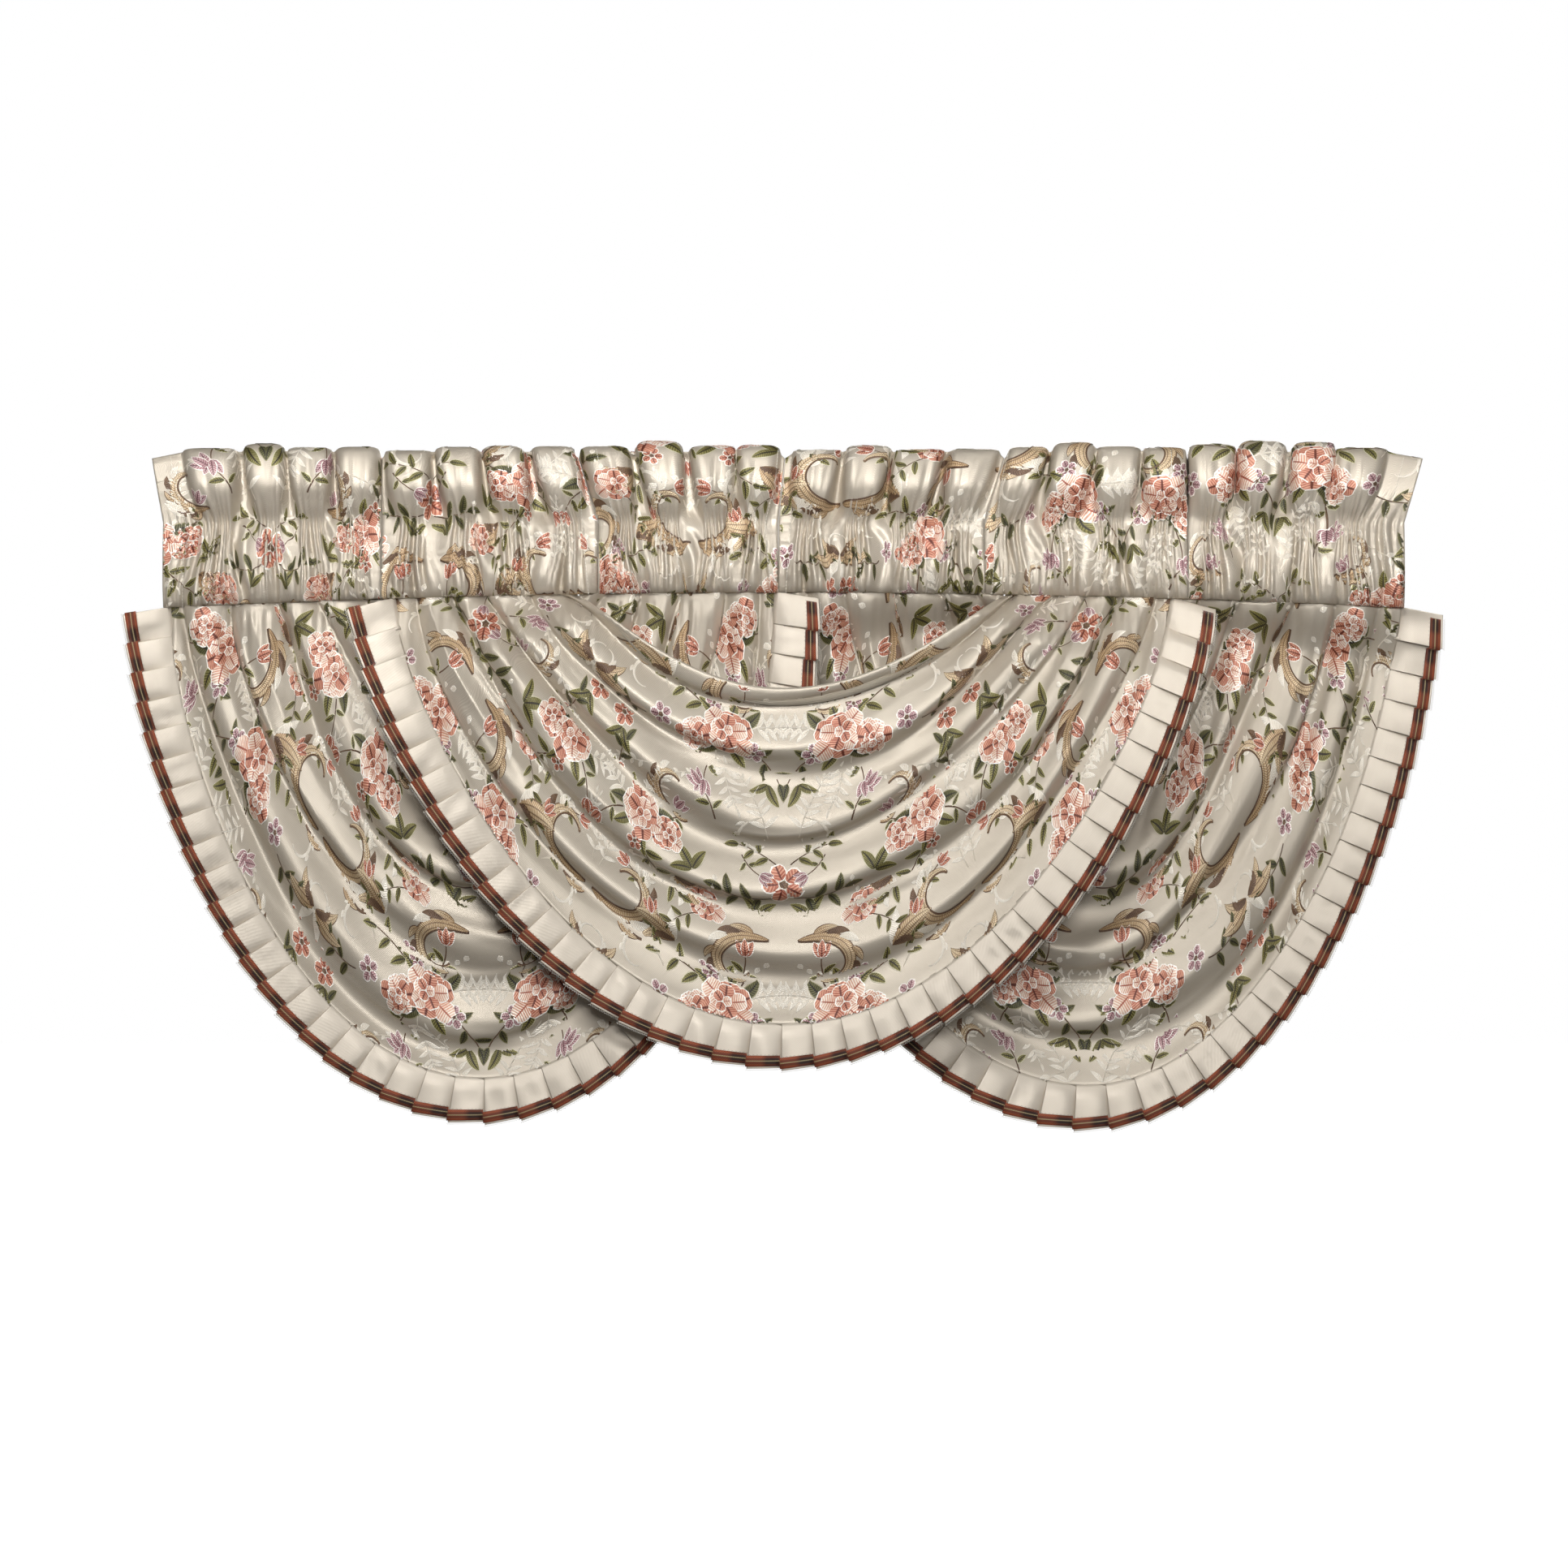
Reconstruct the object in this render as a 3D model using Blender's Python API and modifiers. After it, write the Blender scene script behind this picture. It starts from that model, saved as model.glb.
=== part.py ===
"""Three gathered swags that hang side by side on one rod line, with pleated ruffles and plaid ribbon.

X runs along the heading, Z is up and -Y is the front. The origin is on the top edge of the heading.
Tables are in millimetres; MM turns them into metres.
"""

from collections import namedtuple
from math import cos, exp, hypot, pi, sin

import bmesh
import bpy
from mathutils import Vector

MM = 0.001

CLOTH_THICKNESS = 1.6
RUFFLE_THICKNESS = 1.2
RIBBON_THICKNESS = 1.0
SEAM_GAP = 0.35
RUFFLE_GAP = 1.8

HEAD_SEAM_DROP = 202.0
HEAD_SEAM_SAG = 22.0
HEADING_HALF_LENGTH = 866.0
PINCH_DROP = 112.0
GAP_BETWEEN_PUFFS_DROP = 15.0
SIDE_HEM_DROP = 24.0

# One row for each gathered head: its side edges at the top and at the lower seam.
Head = namedtuple("Head", "name left_top left_low right_top right_low puffs")
# One row for each puff of a head: its side edges and how far its top is below the highest one.
Puff = namedtuple("Puff", "left right drop")

HEADS = (
    Head("head_left_outer", -862, -846, -549, -549, (
        Puff(-817, -749, 10), Puff(-735, -683, 4), Puff(-675, -619, 9), Puff(-609, -554, 8))),
    Head("head_middle_left", -548.6, -548.6, -281, -254, (
        Puff(-541, -485, 13), Puff(-474, -419, 8), Puff(-409, -359, 7), Puff(-343, -289, 7))),
    Head("head_left_inner", -280.6, -253.6, 0, -9, (
        Puff(-276, -215, 7), Puff(-201, -141, 1), Puff(-128, -69, 7), Puff(-63, -9, 6))),
    Head("head_right_inner", 0.4, -8.6, 299, 271, (
        Puff(14, 74, 12), Puff(86, 143, 6), Puff(153, 215, 12), Puff(228, 290, 11))),
    Head("head_middle_right", 299.4, 271.4, 548, 548, (
        Puff(307, 356, 8), Puff(367, 422, 2), Puff(427, 483, 7), Puff(490, 544, 9))),
    Head("head_right_outer", 548.4, 548.4, 869, 843, (
        Puff(552, 612, 4), Puff(620, 681, 0), Puff(693, 751, 2), Puff(752, 818, 9))),
)

# One row for each line around a head's section, from the lower seam up the front and down the back.
# Level 0 is the top edge, 1 the pinch line and 2 the lower seam. Depth is where the cloth lies between
# puffs, bulge what a puff adds to it, and squeeze how much narrower the puff is there.
Line = namedtuple("Line", "level depth bulge squeeze")

HEAD_SECTION = (
    Line(2.00, 0.0, 0.0, 0.10),
    Line(1.80, -12.0, -2.0, 0.15),
    Line(1.35, -14.5, -3.0, 0.30),
    Line(1.00, -2.6, -1.0, 0.38),
    Line(0.75, -6.0, -8.0, 0.22),
    Line(0.40, -7.0, -16.0, 0.04),
    Line(0.08, -6.0, -12.0, 0.00),
    Line(0.00, 0.0, 0.0, 0.00),
    Line(0.10, 5.0, 6.0, 0.00),
    Line(0.55, 6.0, 8.0, 0.10),
    Line(1.00, 2.6, 1.0, 0.38),
    Line(1.28, 13.5, 1.5, 0.33),
    Line(1.75, 13.5, 1.5, 0.18),
)

# Where a puff is cut by the columns of the mesh, and how full it is there.
PUFF_STATIONS = ((0.0, 0.0), (0.28, 0.9), (0.72, 0.9), (1.0, 0.0))

# One row for each roll of a swag, as shares of the way from the cowl to the lower edge, with how far
# it stands out near the heads and at the middle of the swag, as shares of the swag's depth of fold.
Roll = namedtuple("Roll", "start end near_heads at_middle")

# One row for each swag. Outer and inner are where its lower edge and its cowl leave the two heads.
Swag = namedtuple(
    "Swag",
    "name centre left_outer left_inner right_inner right_outer cowl_drop edge_drop "
    "left_roundness right_roundness front fold_depth belly cowl_ramp edge_ramp left_lean right_lean rolls",
)

SWAGS = (
    Swag("left", -410, -839, -556, -253, -11, 165, 651, 0.64, 0.54, -4, 16, 10, 40, 115, -5, -15, (
        Roll(-0.06, 0.12, 1.0, 0.6), Roll(0.12, 0.32, 1.0, 0.9), Roll(0.32, 0.53, 0.95, 1.0),
        Roll(0.53, 0.73, 1.0, 0.8), Roll(0.73, 0.93, 1.0, 0.9), Roll(0.93, 1.07, 0.9, 0.8))),
    Swag("middle", -2, -534, -282, 300, 529, 127, 576, 0.76, 0.76, -46, 18, 28, 28, 130, -15, -15, (
        Roll(-0.06, 0.08, 1.0, 0.8), Roll(0.08, 0.28, 1.0, 1.0), Roll(0.28, 0.48, 0.9, 0.9),
        Roll(0.48, 0.69, 1.0, 1.0), Roll(0.69, 0.89, 0.95, 0.8), Roll(0.89, 1.11, 0.9, 0.8))),
    Swag("right", 411, 3, 270, 564, 839, 165, 663, 0.50, 0.67, 28, 18, 8, 34, 86, 22, -5, (
        Roll(-0.06, 0.11, 1.0, 0.6), Roll(0.11, 0.30, 1.0, 0.9), Roll(0.30, 0.52, 1.0, 1.0),
        Roll(0.52, 0.72, 0.9, 0.9), Roll(0.72, 0.92, 1.0, 0.8), Roll(0.92, 1.08, 0.9, 0.8))),
)

TAB_LENGTH = 6.0
SWAG_COLUMNS = 20
ROWS_PER_ROLL = 4
FIRST_ROW = 0.02  # rows between these lie inside the cloth; the cowl and the lower edge have their own
LAST_ROW = 0.995
LIP = ((9.0, 24.0), (5.0, 5.0))  # back and down, from the cowl's hem to its fold
LIP_STARTS_AFTER = 25.0
LIP_GROWS_OVER = 50.0
COWL_ROUNDNESS = 1.2
ROLL_SHARPNESS_AT_HEADS = 0.6
ROLL_SHARPNESS_AT_MIDDLE = 1.25

RUFFLE_WIDTH = 55.0
PLEAT_PITCH = 40.0
PLEAT_OVERLAP = 4.0
PLEAT_RISE_INNER = 4.0
PLEAT_RISE_OUTER = 5.0
PLEAT_STEP_OUT = 4.0
LEAN_FADE = 90.0
LEAN_AT_SEAM = 0.35
END_DROOP = 8.0
RUFFLE_LINES = (1.0, 0.66, 0.0)  # shares of the way out from the seam, from the outer edge in

RIBBON_WIDTH = 14.0
RIBBON_FROM_EDGE = 3.5
RIBBON_LIFT = 0.6
RIBBON_CLEAR_OF_FOLD = 1.8
RIBBON_STEP = 0.4

# Colour (linear), roughness and metallic value of each finish.
FINISHES = {
    "brocade": ((0.62, 0.57, 0.48), 0.38, 0.0),
    "ruffle_satin": ((0.72, 0.69, 0.60), 0.45, 0.0),
    "ribbon_plaid": ((0.20, 0.06, 0.03), 0.65, 0.0),
}


def clear_scene():
    for obj in list(bpy.data.objects):
        bpy.data.objects.remove(obj, do_unlink=True)


def new_collection(name):
    collection = bpy.data.collections.new(name)
    bpy.context.scene.collection.children.link(collection)
    return collection


def new_material(name, finish):
    colour, roughness, metallic = FINISHES[finish]
    material = bpy.data.materials.new(name)
    material.use_nodes = True
    shader = material.node_tree.nodes["Principled BSDF"]
    shader.inputs["Base Color"].default_value = (*colour, 1.0)
    shader.inputs["Roughness"].default_value = roughness
    shader.inputs["Metallic"].default_value = metallic
    material.diffuse_color = (*colour, 1.0)
    return material


def mix(first, second, share):
    return first + (second - first) * share


def smooth_step(value):
    value = min(1.0, max(0.0, value))
    return value * value * (3.0 - 2.0 * value)


def add_sheet(name, columns, rows, place, thickness, finish, collection, ring=False):
    """A grid of cells bent to place(column, row), in millimetres, and thickened behind its face."""
    mesh = bpy.data.meshes.new(name)
    bm = bmesh.new()
    bmesh.ops.create_grid(bm, x_segments=columns, y_segments=rows, size=0.5)
    for vert in bm.verts:
        column = round((vert.co.x + 0.5) * columns)
        row = round((vert.co.y + 0.5) * rows)
        vert.co = Vector(place(column, row)) * MM
    if ring:
        bmesh.ops.remove_doubles(bm, verts=bm.verts, dist=1e-6)
    bm.to_mesh(mesh)
    bm.free()
    mesh.shade_smooth()
    obj = bpy.data.objects.new(name, mesh)
    obj.data.materials.append(new_material(name, finish))
    collection.objects.link(obj)
    solidify = obj.modifiers.new("Thickness", "SOLIDIFY")
    solidify.thickness = thickness * MM
    solidify.offset = -1.0
    return obj


def head_seam_drop(x):
    """How far the lower seam of the heads is below the origin: it dips towards both ends."""
    return HEAD_SEAM_DROP + HEAD_SEAM_SAG * (x / HEADING_HALF_LENGTH) ** 2


def head_columns(head):
    """(x at the top, puff centre, fullness, drop of the top edge) of each column of a head."""
    columns = [(head.left_top, None, 0.0, SIDE_HEM_DROP)]
    for puff in head.puffs:
        centre = (puff.left + puff.right) / 2
        for share, fullness in PUFF_STATIONS:
            drop = mix(GAP_BETWEEN_PUFFS_DROP, puff.drop, fullness)
            columns.append((mix(puff.left, puff.right, share), centre, fullness, drop))
    columns.append((head.right_top, None, 0.0, SIDE_HEM_DROP))
    return columns


def add_head(head, collection):
    columns = head_columns(head)

    def place(column, row):
        x, centre, fullness, top = columns[column]
        line = HEAD_SECTION[row % len(HEAD_SECTION)]
        if centre is not None:
            x = mix(x, centre, line.squeeze)
        share = (x - head.left_top) / (head.right_top - head.left_top)
        slant = min(line.level, 1.0)
        shift = mix(head.left_low - head.left_top, head.right_low - head.right_top, share)
        x += shift * slant
        seam = head_seam_drop(x)
        if line.level <= 1.0:
            drop = mix(top, PINCH_DROP, line.level)
        else:
            drop = mix(PINCH_DROP, seam, line.level - 1.0)
        return x, line.depth + line.bulge * fullness, -drop

    add_sheet(head.name, len(columns) - 1, len(HEAD_SECTION), place, CLOTH_THICKNESS,
              "brocade", collection, ring=True)


def roll_height(swag, v, spread):
    """How far the cloth stands out at v, from 0 in a valley to 1 on a full roll."""
    for roll in swag.rolls:
        if v <= roll.end:
            phase = (v - roll.start) / (roll.end - roll.start)
            sharpness = mix(ROLL_SHARPNESS_AT_HEADS, ROLL_SHARPNESS_AT_MIDDLE, spread)
            size = mix(roll.near_heads, roll.at_middle, spread)
            return size * max(0.0, sin(pi * phase)) ** sharpness
    return 0.0


def swag_point(swag, t, v):
    """The swag's cloth at t, -1 to 1 across it, and v, 0 at the cowl to 1 at the lower edge."""
    left = mix(swag.left_inner, swag.left_outer, v)
    right = mix(swag.right_inner, swag.right_outer, v)
    reach = swag.centre - left if t < 0 else right - swag.centre
    x = swag.centre + reach * sin(pi * t / 2)
    anchor = mix(head_seam_drop(left), head_seam_drop(right), (t + 1) / 2) + TAB_LENGTH + SEAM_GAP
    spread = cos(pi * t / 2) ** 2
    roundness = swag.left_roundness if t < 0 else swag.right_roundness
    fall = mix(swag.cowl_drop, swag.edge_drop, v) * spread ** mix(COWL_ROUNDNESS, roundness, v)
    height = roll_height(swag, v, spread)
    depth = swag.front + swag.fold_depth * (1.0 - height) - swag.belly * spread
    ramp = mix(swag.cowl_ramp, swag.edge_ramp, v)
    return x, depth * smooth_step(fall / ramp), -(anchor + fall)


def swag_rows(swag):
    rows = [0.0]
    for roll in swag.rolls:
        for step in range(1, ROWS_PER_ROLL + 1):
            v = mix(roll.start, roll.end, step / ROWS_PER_ROLL)
            if FIRST_ROW < v < LAST_ROW:
                rows.append(v)
    rows.append(1.0)
    return rows


def swag_place(swag):
    """The function that puts a column and a row of the swag's grid in their place."""
    rows = swag_rows(swag)

    def place(column, row):
        step = min(max(column - 1, 0), SWAG_COLUMNS)
        t = mix(-1.0, 1.0, step / SWAG_COLUMNS)
        v = rows[max(0, row - len(LIP))]
        x, y, z = swag_point(swag, t, v)
        if column in (0, SWAG_COLUMNS + 2):
            z += TAB_LENGTH
        if row < len(LIP):
            back, down = LIP[row]
            lip = smooth_step((-z - HEAD_SEAM_DROP - LIP_STARTS_AFTER) / LIP_GROWS_OVER)
            y += back * lip
            z -= down * lip
        return x, y, z

    return place, SWAG_COLUMNS + 2, len(rows) - 1 + len(LIP)


def add_swag(swag, collection):
    place, columns, rows = swag_place(swag)
    add_sheet("swag_" + swag.name, columns, rows, lambda column, row: place(column, rows - row),
              CLOTH_THICKNESS, "brocade", collection)


def seam_line(swag):
    """The swag's lower edge as points, with the length run so far at each."""
    place, columns, rows = swag_place(swag)
    points = [place(column, rows) for column in range(1, columns)]
    runs = [0.0]
    for before, after in zip(points, points[1:]):
        runs.append(runs[-1] + hypot(after[0] - before[0], after[2] - before[2]))
    return points, runs


def seam_station(points, runs, run):
    """The point of the seam at a run, and the outward direction there."""
    run = min(max(run, 0.0), runs[-1])
    index = 0
    while index < len(runs) - 2 and runs[index + 1] < run:
        index += 1
    share = (run - runs[index]) / (runs[index + 1] - runs[index])
    point = [mix(a, b, share) for a, b in zip(points[index], points[index + 1])]

    def direction(place):
        before = points[max(place - 1, 0)]
        after = points[min(place + 1, len(points) - 1)]
        return Vector((after[0] - before[0], after[2] - before[2])).normalized()

    along = direction(index).lerp(direction(index + 1), share).normalized()
    return point, along, Vector((along.y, -along.x))


def ruffle_point(swag, seam, run, share, rise, out):
    """A point of the ruffle: share 0 at the seam and 1 at the outer edge."""
    points, runs = seam
    point, along, outward = seam_station(points, runs, run)
    beyond = run - min(max(run, 0.0), runs[-1])
    reach = RUFFLE_GAP + share * (RUFFLE_WIDTH + out)
    left_end = exp(-run / LEAN_FADE)
    right_end = exp(-(runs[-1] - run) / LEAN_FADE)
    lean = (swag.left_lean * left_end + swag.right_lean * right_end) * mix(LEAN_AT_SEAM, 1.0, share)
    droop = END_DROOP * share * (left_end + right_end)
    x = point[0] + along.x * beyond + outward.x * reach
    z = point[2] + along.y * beyond + outward.y * reach - droop
    return x, point[1] - rise + lean, z


def pleats(swag):
    """(start, end) of each knife pleat along the seam, each start lying over the last end."""
    runs = seam_line(swag)[1]
    count = round(runs[-1] / PLEAT_PITCH)
    pitch = runs[-1] / count
    half = PLEAT_OVERLAP / 2
    return [(number * pitch - half, (number + 1) * pitch + half) for number in range(count)]


def pleat_point(swag, seam, pleat, share, along):
    """A point of a pleat's flat: share 0 at the seam to 1 at its edge, along 0 at its start to 1."""
    start, end = pleat
    rise = mix(PLEAT_RISE_INNER, PLEAT_RISE_OUTER, share)
    first = ruffle_point(swag, seam, start, share, rise, PLEAT_STEP_OUT)
    last = ruffle_point(swag, seam, end, share, 0.0, 0.0)
    return [mix(a, b, along) for a, b in zip(first, last)]


def add_ruffle(swag, collection):
    seam = seam_line(swag)
    folds = pleats(swag)

    def place(column, row):
        return pleat_point(swag, seam, folds[column // 2], RUFFLE_LINES[row], column % 2)

    add_sheet("ruffle_" + swag.name, 2 * len(folds) - 1, len(RUFFLE_LINES) - 1, place,
              RUFFLE_THICKNESS, "ruffle_satin", collection)


def add_ribbon(swag, collection):
    """The ribbon lies on the flats of the pleats, and steps forward just outside each fold."""
    seam = seam_line(swag)
    folds = pleats(swag)
    length = folds[0][1] - folds[0][0]
    before = RIBBON_CLEAR_OF_FOLD / length
    reach = 1.0 - (PLEAT_OVERLAP + RIBBON_STEP) / length
    outer = 1.0 - RIBBON_FROM_EDGE / RUFFLE_WIDTH
    inner = outer - RIBBON_WIDTH / RUFFLE_WIDTH

    def place(column, row):
        along = column % 2 * reach - before
        pleat = folds[column // 2]
        point = Vector(pleat_point(swag, seam, pleat, mix(outer, inner, row), along))
        corner = Vector(pleat_point(swag, seam, pleat, inner, 0.0))
        across = Vector(pleat_point(swag, seam, pleat, outer, 0.0)) - corner
        down = Vector(pleat_point(swag, seam, pleat, inner, 1.0)) - corner
        return point + across.cross(down).normalized() * (RIBBON_LIFT + RIBBON_THICKNESS)

    add_sheet("ribbon_" + swag.name, 2 * len(folds) - 1, 1, place, RIBBON_THICKNESS,
              "ribbon_plaid", collection)


def build():
    clear_scene()
    collection = new_collection("swag_drape")
    for head in HEADS:
        add_head(head, collection)
    for swag in SWAGS:
        add_swag(swag, collection)
        add_ruffle(swag, collection)
        add_ribbon(swag, collection)


build()
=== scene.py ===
# Three brocade swags on gathered heads, with pleated ruffles and plaid ribbon: the look of the drape.
# X runs along the heading, Z is up and -Y is the front. Sizes are in millimetres unless a line says metres.
import math

import bpy
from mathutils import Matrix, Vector
import numpy as np


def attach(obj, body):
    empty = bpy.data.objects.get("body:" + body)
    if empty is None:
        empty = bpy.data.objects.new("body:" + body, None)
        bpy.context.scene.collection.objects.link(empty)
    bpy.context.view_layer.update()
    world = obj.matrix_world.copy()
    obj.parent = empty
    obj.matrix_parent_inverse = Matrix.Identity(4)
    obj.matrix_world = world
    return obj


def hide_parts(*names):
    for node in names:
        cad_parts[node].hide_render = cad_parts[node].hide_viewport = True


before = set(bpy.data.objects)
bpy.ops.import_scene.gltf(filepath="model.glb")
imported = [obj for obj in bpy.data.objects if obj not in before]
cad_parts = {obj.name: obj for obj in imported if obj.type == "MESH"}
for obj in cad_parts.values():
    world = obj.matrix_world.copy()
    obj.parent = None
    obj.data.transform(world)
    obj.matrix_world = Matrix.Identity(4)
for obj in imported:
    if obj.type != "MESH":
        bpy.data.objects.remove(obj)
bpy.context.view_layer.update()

mm = 0.001
scene = bpy.context.scene
print("frame loaded:", len(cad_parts), "nodes")


# small helpers shared by all pieces
def mix(first, second, share):
    return first + (second - first) * share


def smoothStep(value):
    value = np.clip(value, 0.0, 1.0)
    return value * value * (3.0 - 2.0 * value)


def tone(red, green, blue):  # a colour of 0-255 as linear light
    found = []
    for part in (red, green, blue):
        part = part / 255.0
        found.append(part / 12.92 if part <= 0.04045 else ((part + 0.055) / 1.055) ** 2.4)
    return (*found, 1.0)


# nodes and meshes
def addNode(tree, kind, inputs, settings):
    node = tree.nodes.new(kind)
    count = len(tree.nodes)
    node.location = (190 * count - 1600, -60 * (count % 6))
    for key, value in settings.items():
        setattr(node, key, value)
    for key, value in dict(inputs).items():
        if isinstance(value, bpy.types.NodeSocket):
            tree.links.new(value, node.inputs[key])
        else:
            node.inputs[key].default_value = value
    return node


def placed(name, data):  # a new object with this data, in the scene
    obj = bpy.data.objects.new(name, data)
    scene.collection.objects.link(obj)
    return obj


def clothPiece(name, points, faces, uv, materials):
    # points in mm, uv in metres with one place for each corner of a face
    mesh = bpy.data.meshes.new(name)
    mesh.from_pydata((points * mm).tolist(), [], faces.tolist())
    mesh.uv_layers.new(name="cloth").data.foreach_set("uv", uv.astype(np.float32).ravel())
    for material in materials:
        mesh.materials.append(material)
    mesh.shade_smooth()
    return placed(name, mesh)


class nodeDesk:
    # builds the nodes of one material; pitches and depths are in mm
    def __init__(self, name):
        self.material = bpy.data.materials.new(name)
        self.material.use_nodes = True
        self.tree = self.material.node_tree
        self.shader = self.tree.nodes["Principled BSDF"]

    def add(self, kind, inputs=(), **settings):
        return addNode(self.tree, kind, inputs, settings)

    def math(self, operation, first, second=0.0, third=0.0):
        return self.add("ShaderNodeMath", {0: first, 1: second, 2: third}, operation=operation).outputs[0]

    def blend(self, share, first, second):
        return self.add("ShaderNodeMix", {0: share, 6: first, 7: second}, data_type="RGBA").outputs[2]

    def ramp(self, value, start, end, low=0.0, high=1.0):
        return self.add("ShaderNodeMapRange", {0: value, 1: start, 2: end, 3: low, 4: high}).outputs[0]

    def wave(self, place, pitch):
        return self.math("SINE", self.math("MULTIPLY", place, 2 * math.pi / (pitch * mm)))

    def noise(self, place, scale, detail, stretch=None):
        if stretch:
            place = self.add("ShaderNodeMapping", {0: place, 3: stretch}).outputs[0]
        return self.add("ShaderNodeTexNoise", {"Vector": place, "Scale": scale, "Detail": detail}).outputs[0]

    def attribute(self, name):
        return self.add("ShaderNodeAttribute", attribute_name=name).outputs["Fac"]

    def clothPlace(self):  # where a point is on the cloth, in metres: both numbers together, then each of them
        uv = self.add("ShaderNodeUVMap", uv_map="cloth").outputs[0]
        parts = self.add("ShaderNodeSeparateXYZ", {0: uv}).outputs
        return uv, parts[0], parts[1]

    def objectPlace(self):
        return self.add("ShaderNodeTexCoord").outputs["Object"]

    def raised(self, height, strength, depth):
        bump = self.add("ShaderNodeBump", {"Height": height, "Strength": strength, "Distance": depth * mm})
        self.tree.links.new(bump.outputs[0], self.shader.inputs["Normal"])

    def finish(self, colour, roughness, specular, metallic=0.0, sheen=0.0, sheenRoughness=0.5):
        self.tree.links.new(colour, self.shader.inputs["Base Color"])
        for key, value in (("Roughness", roughness), ("Specular IOR Level", specular), ("Metallic", metallic),
                           ("Sheen Weight", sheen), ("Sheen Roughness", sheenRoughness)):
            self.shader.inputs[key].default_value = value
        return self.material


# materials
clothLook = {
    "ground": tone(192, 181, 164), "groundLight": tone(207, 197, 181), "groundShade": tone(162, 149, 130),
    "reverse": tone(188, 180, 163), "reverseFloats": tone(166, 152, 132),
    "ruffle": tone(221, 210, 194), "ruffleShade": tone(194, 182, 164),
    "groundTwill": 2.4, "ruffleTwill": 1.8, "reverseRib": 2.0, "slope": 0.8, "twillShade": 0.16, "slubShade": 0.42,
    "slubStretch": (14.0, 60.0, 1.0), "cloudScale": 7.0, "floatStretch": (8.0, 34.0, 1.0), "floatShare": (0.42, 0.72),
    "brocadeGloss": (0.41, 0.6, 0.32), "ruffleGloss": (0.42, 0.5, 0.25),  # roughness, specular, metallic
}

threadLook = {  # root, tip, rim and vein as 0-255, how much of the middle is vein, lengthwise lines
    "leaf": ((80, 74, 36), (148, 140, 84), (208, 202, 172), (44, 36, 24), 0.2, 0),
    "darkLeaf": ((58, 56, 32), (108, 104, 64), (160, 152, 116), (36, 30, 22), 0.18, 0),
    "coral": ((160, 84, 62), (216, 158, 132), (246, 240, 230), (100, 44, 30), 0.16, 0),
    "pink": ((200, 136, 108), (240, 226, 210), (250, 245, 238), (156, 80, 58), 0.10, 0),
    "mauve": ((140, 92, 98), (208, 178, 176), (243, 236, 228), (96, 58, 62), 0.14, 0),
    "tan": ((166, 132, 92), (226, 206, 172), (96, 68, 46), (120, 90, 60), 0.0, 3),
    "brown": ((84, 62, 48), (126, 98, 74), (110, 84, 60), (60, 42, 32), 0.0, 0),
    "ivory": ((222, 211, 192), (245, 238, 225), (240, 233, 220), (206, 196, 178), 0.0, 0),
}

threadWeave = {"hatchPitch": 3.2, "hatchTone": 0.44, "fleckTone": 0.7, "tipTone": 0.9, "rimFrom": 0.62, "rimTo": 0.74,
               "gloss": (0.42, 0.5, 0.22)}

ribbonLook = {
    "rust": tone(178, 91, 58), "dark": tone(38, 27, 24), "middle": tone(84, 46, 34), "gold": tone(176, 160, 118),
    "checkPitch": 40.0, "twillPitch": 2.6,
}


def satinMaterial(name, ground, light, shade, twillPitch, gloss):
    desk, look = nodeDesk(name), clothLook
    uv, across, down = desk.clothPlace()
    twill = desk.wave(desk.math("ADD", across, desk.math("MULTIPLY", down, look["slope"])), twillPitch)
    slub = desk.noise(uv, 1.0, 4.0, look["slubStretch"])
    shaded = desk.math("MULTIPLY_ADD", twill, look["twillShade"], desk.math("MULTIPLY", slub, look["slubShade"]))
    colour = desk.blend(shaded, desk.blend(desk.noise(uv, look["cloudScale"], 2.0), ground, light), shade)
    desk.raised(desk.math("MULTIPLY_ADD", slub, 0.8, desk.math("MULTIPLY", twill, 0.5)), 0.35, 0.35)
    return desk.finish(colour, *gloss)


def reverseMaterial(name):  # the wrong side: floats of the coloured threads in dull bands
    desk = nodeDesk(name)
    uv, across, down = desk.clothPlace()
    rib = desk.wave(down, clothLook["reverseRib"])
    floats = desk.ramp(desk.noise(uv, 1.0, 4.0, clothLook["floatStretch"]), *clothLook["floatShare"])
    colour = desk.blend(floats, clothLook["reverse"], clothLook["reverseFloats"])
    colour = desk.blend(desk.math("MULTIPLY_ADD", rib, 0.10, 0.10), colour, clothLook["groundShade"])
    desk.raised(rib, 0.4, 0.3)
    return desk.finish(colour, 0.62, 0.3, sheen=0.15)


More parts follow.
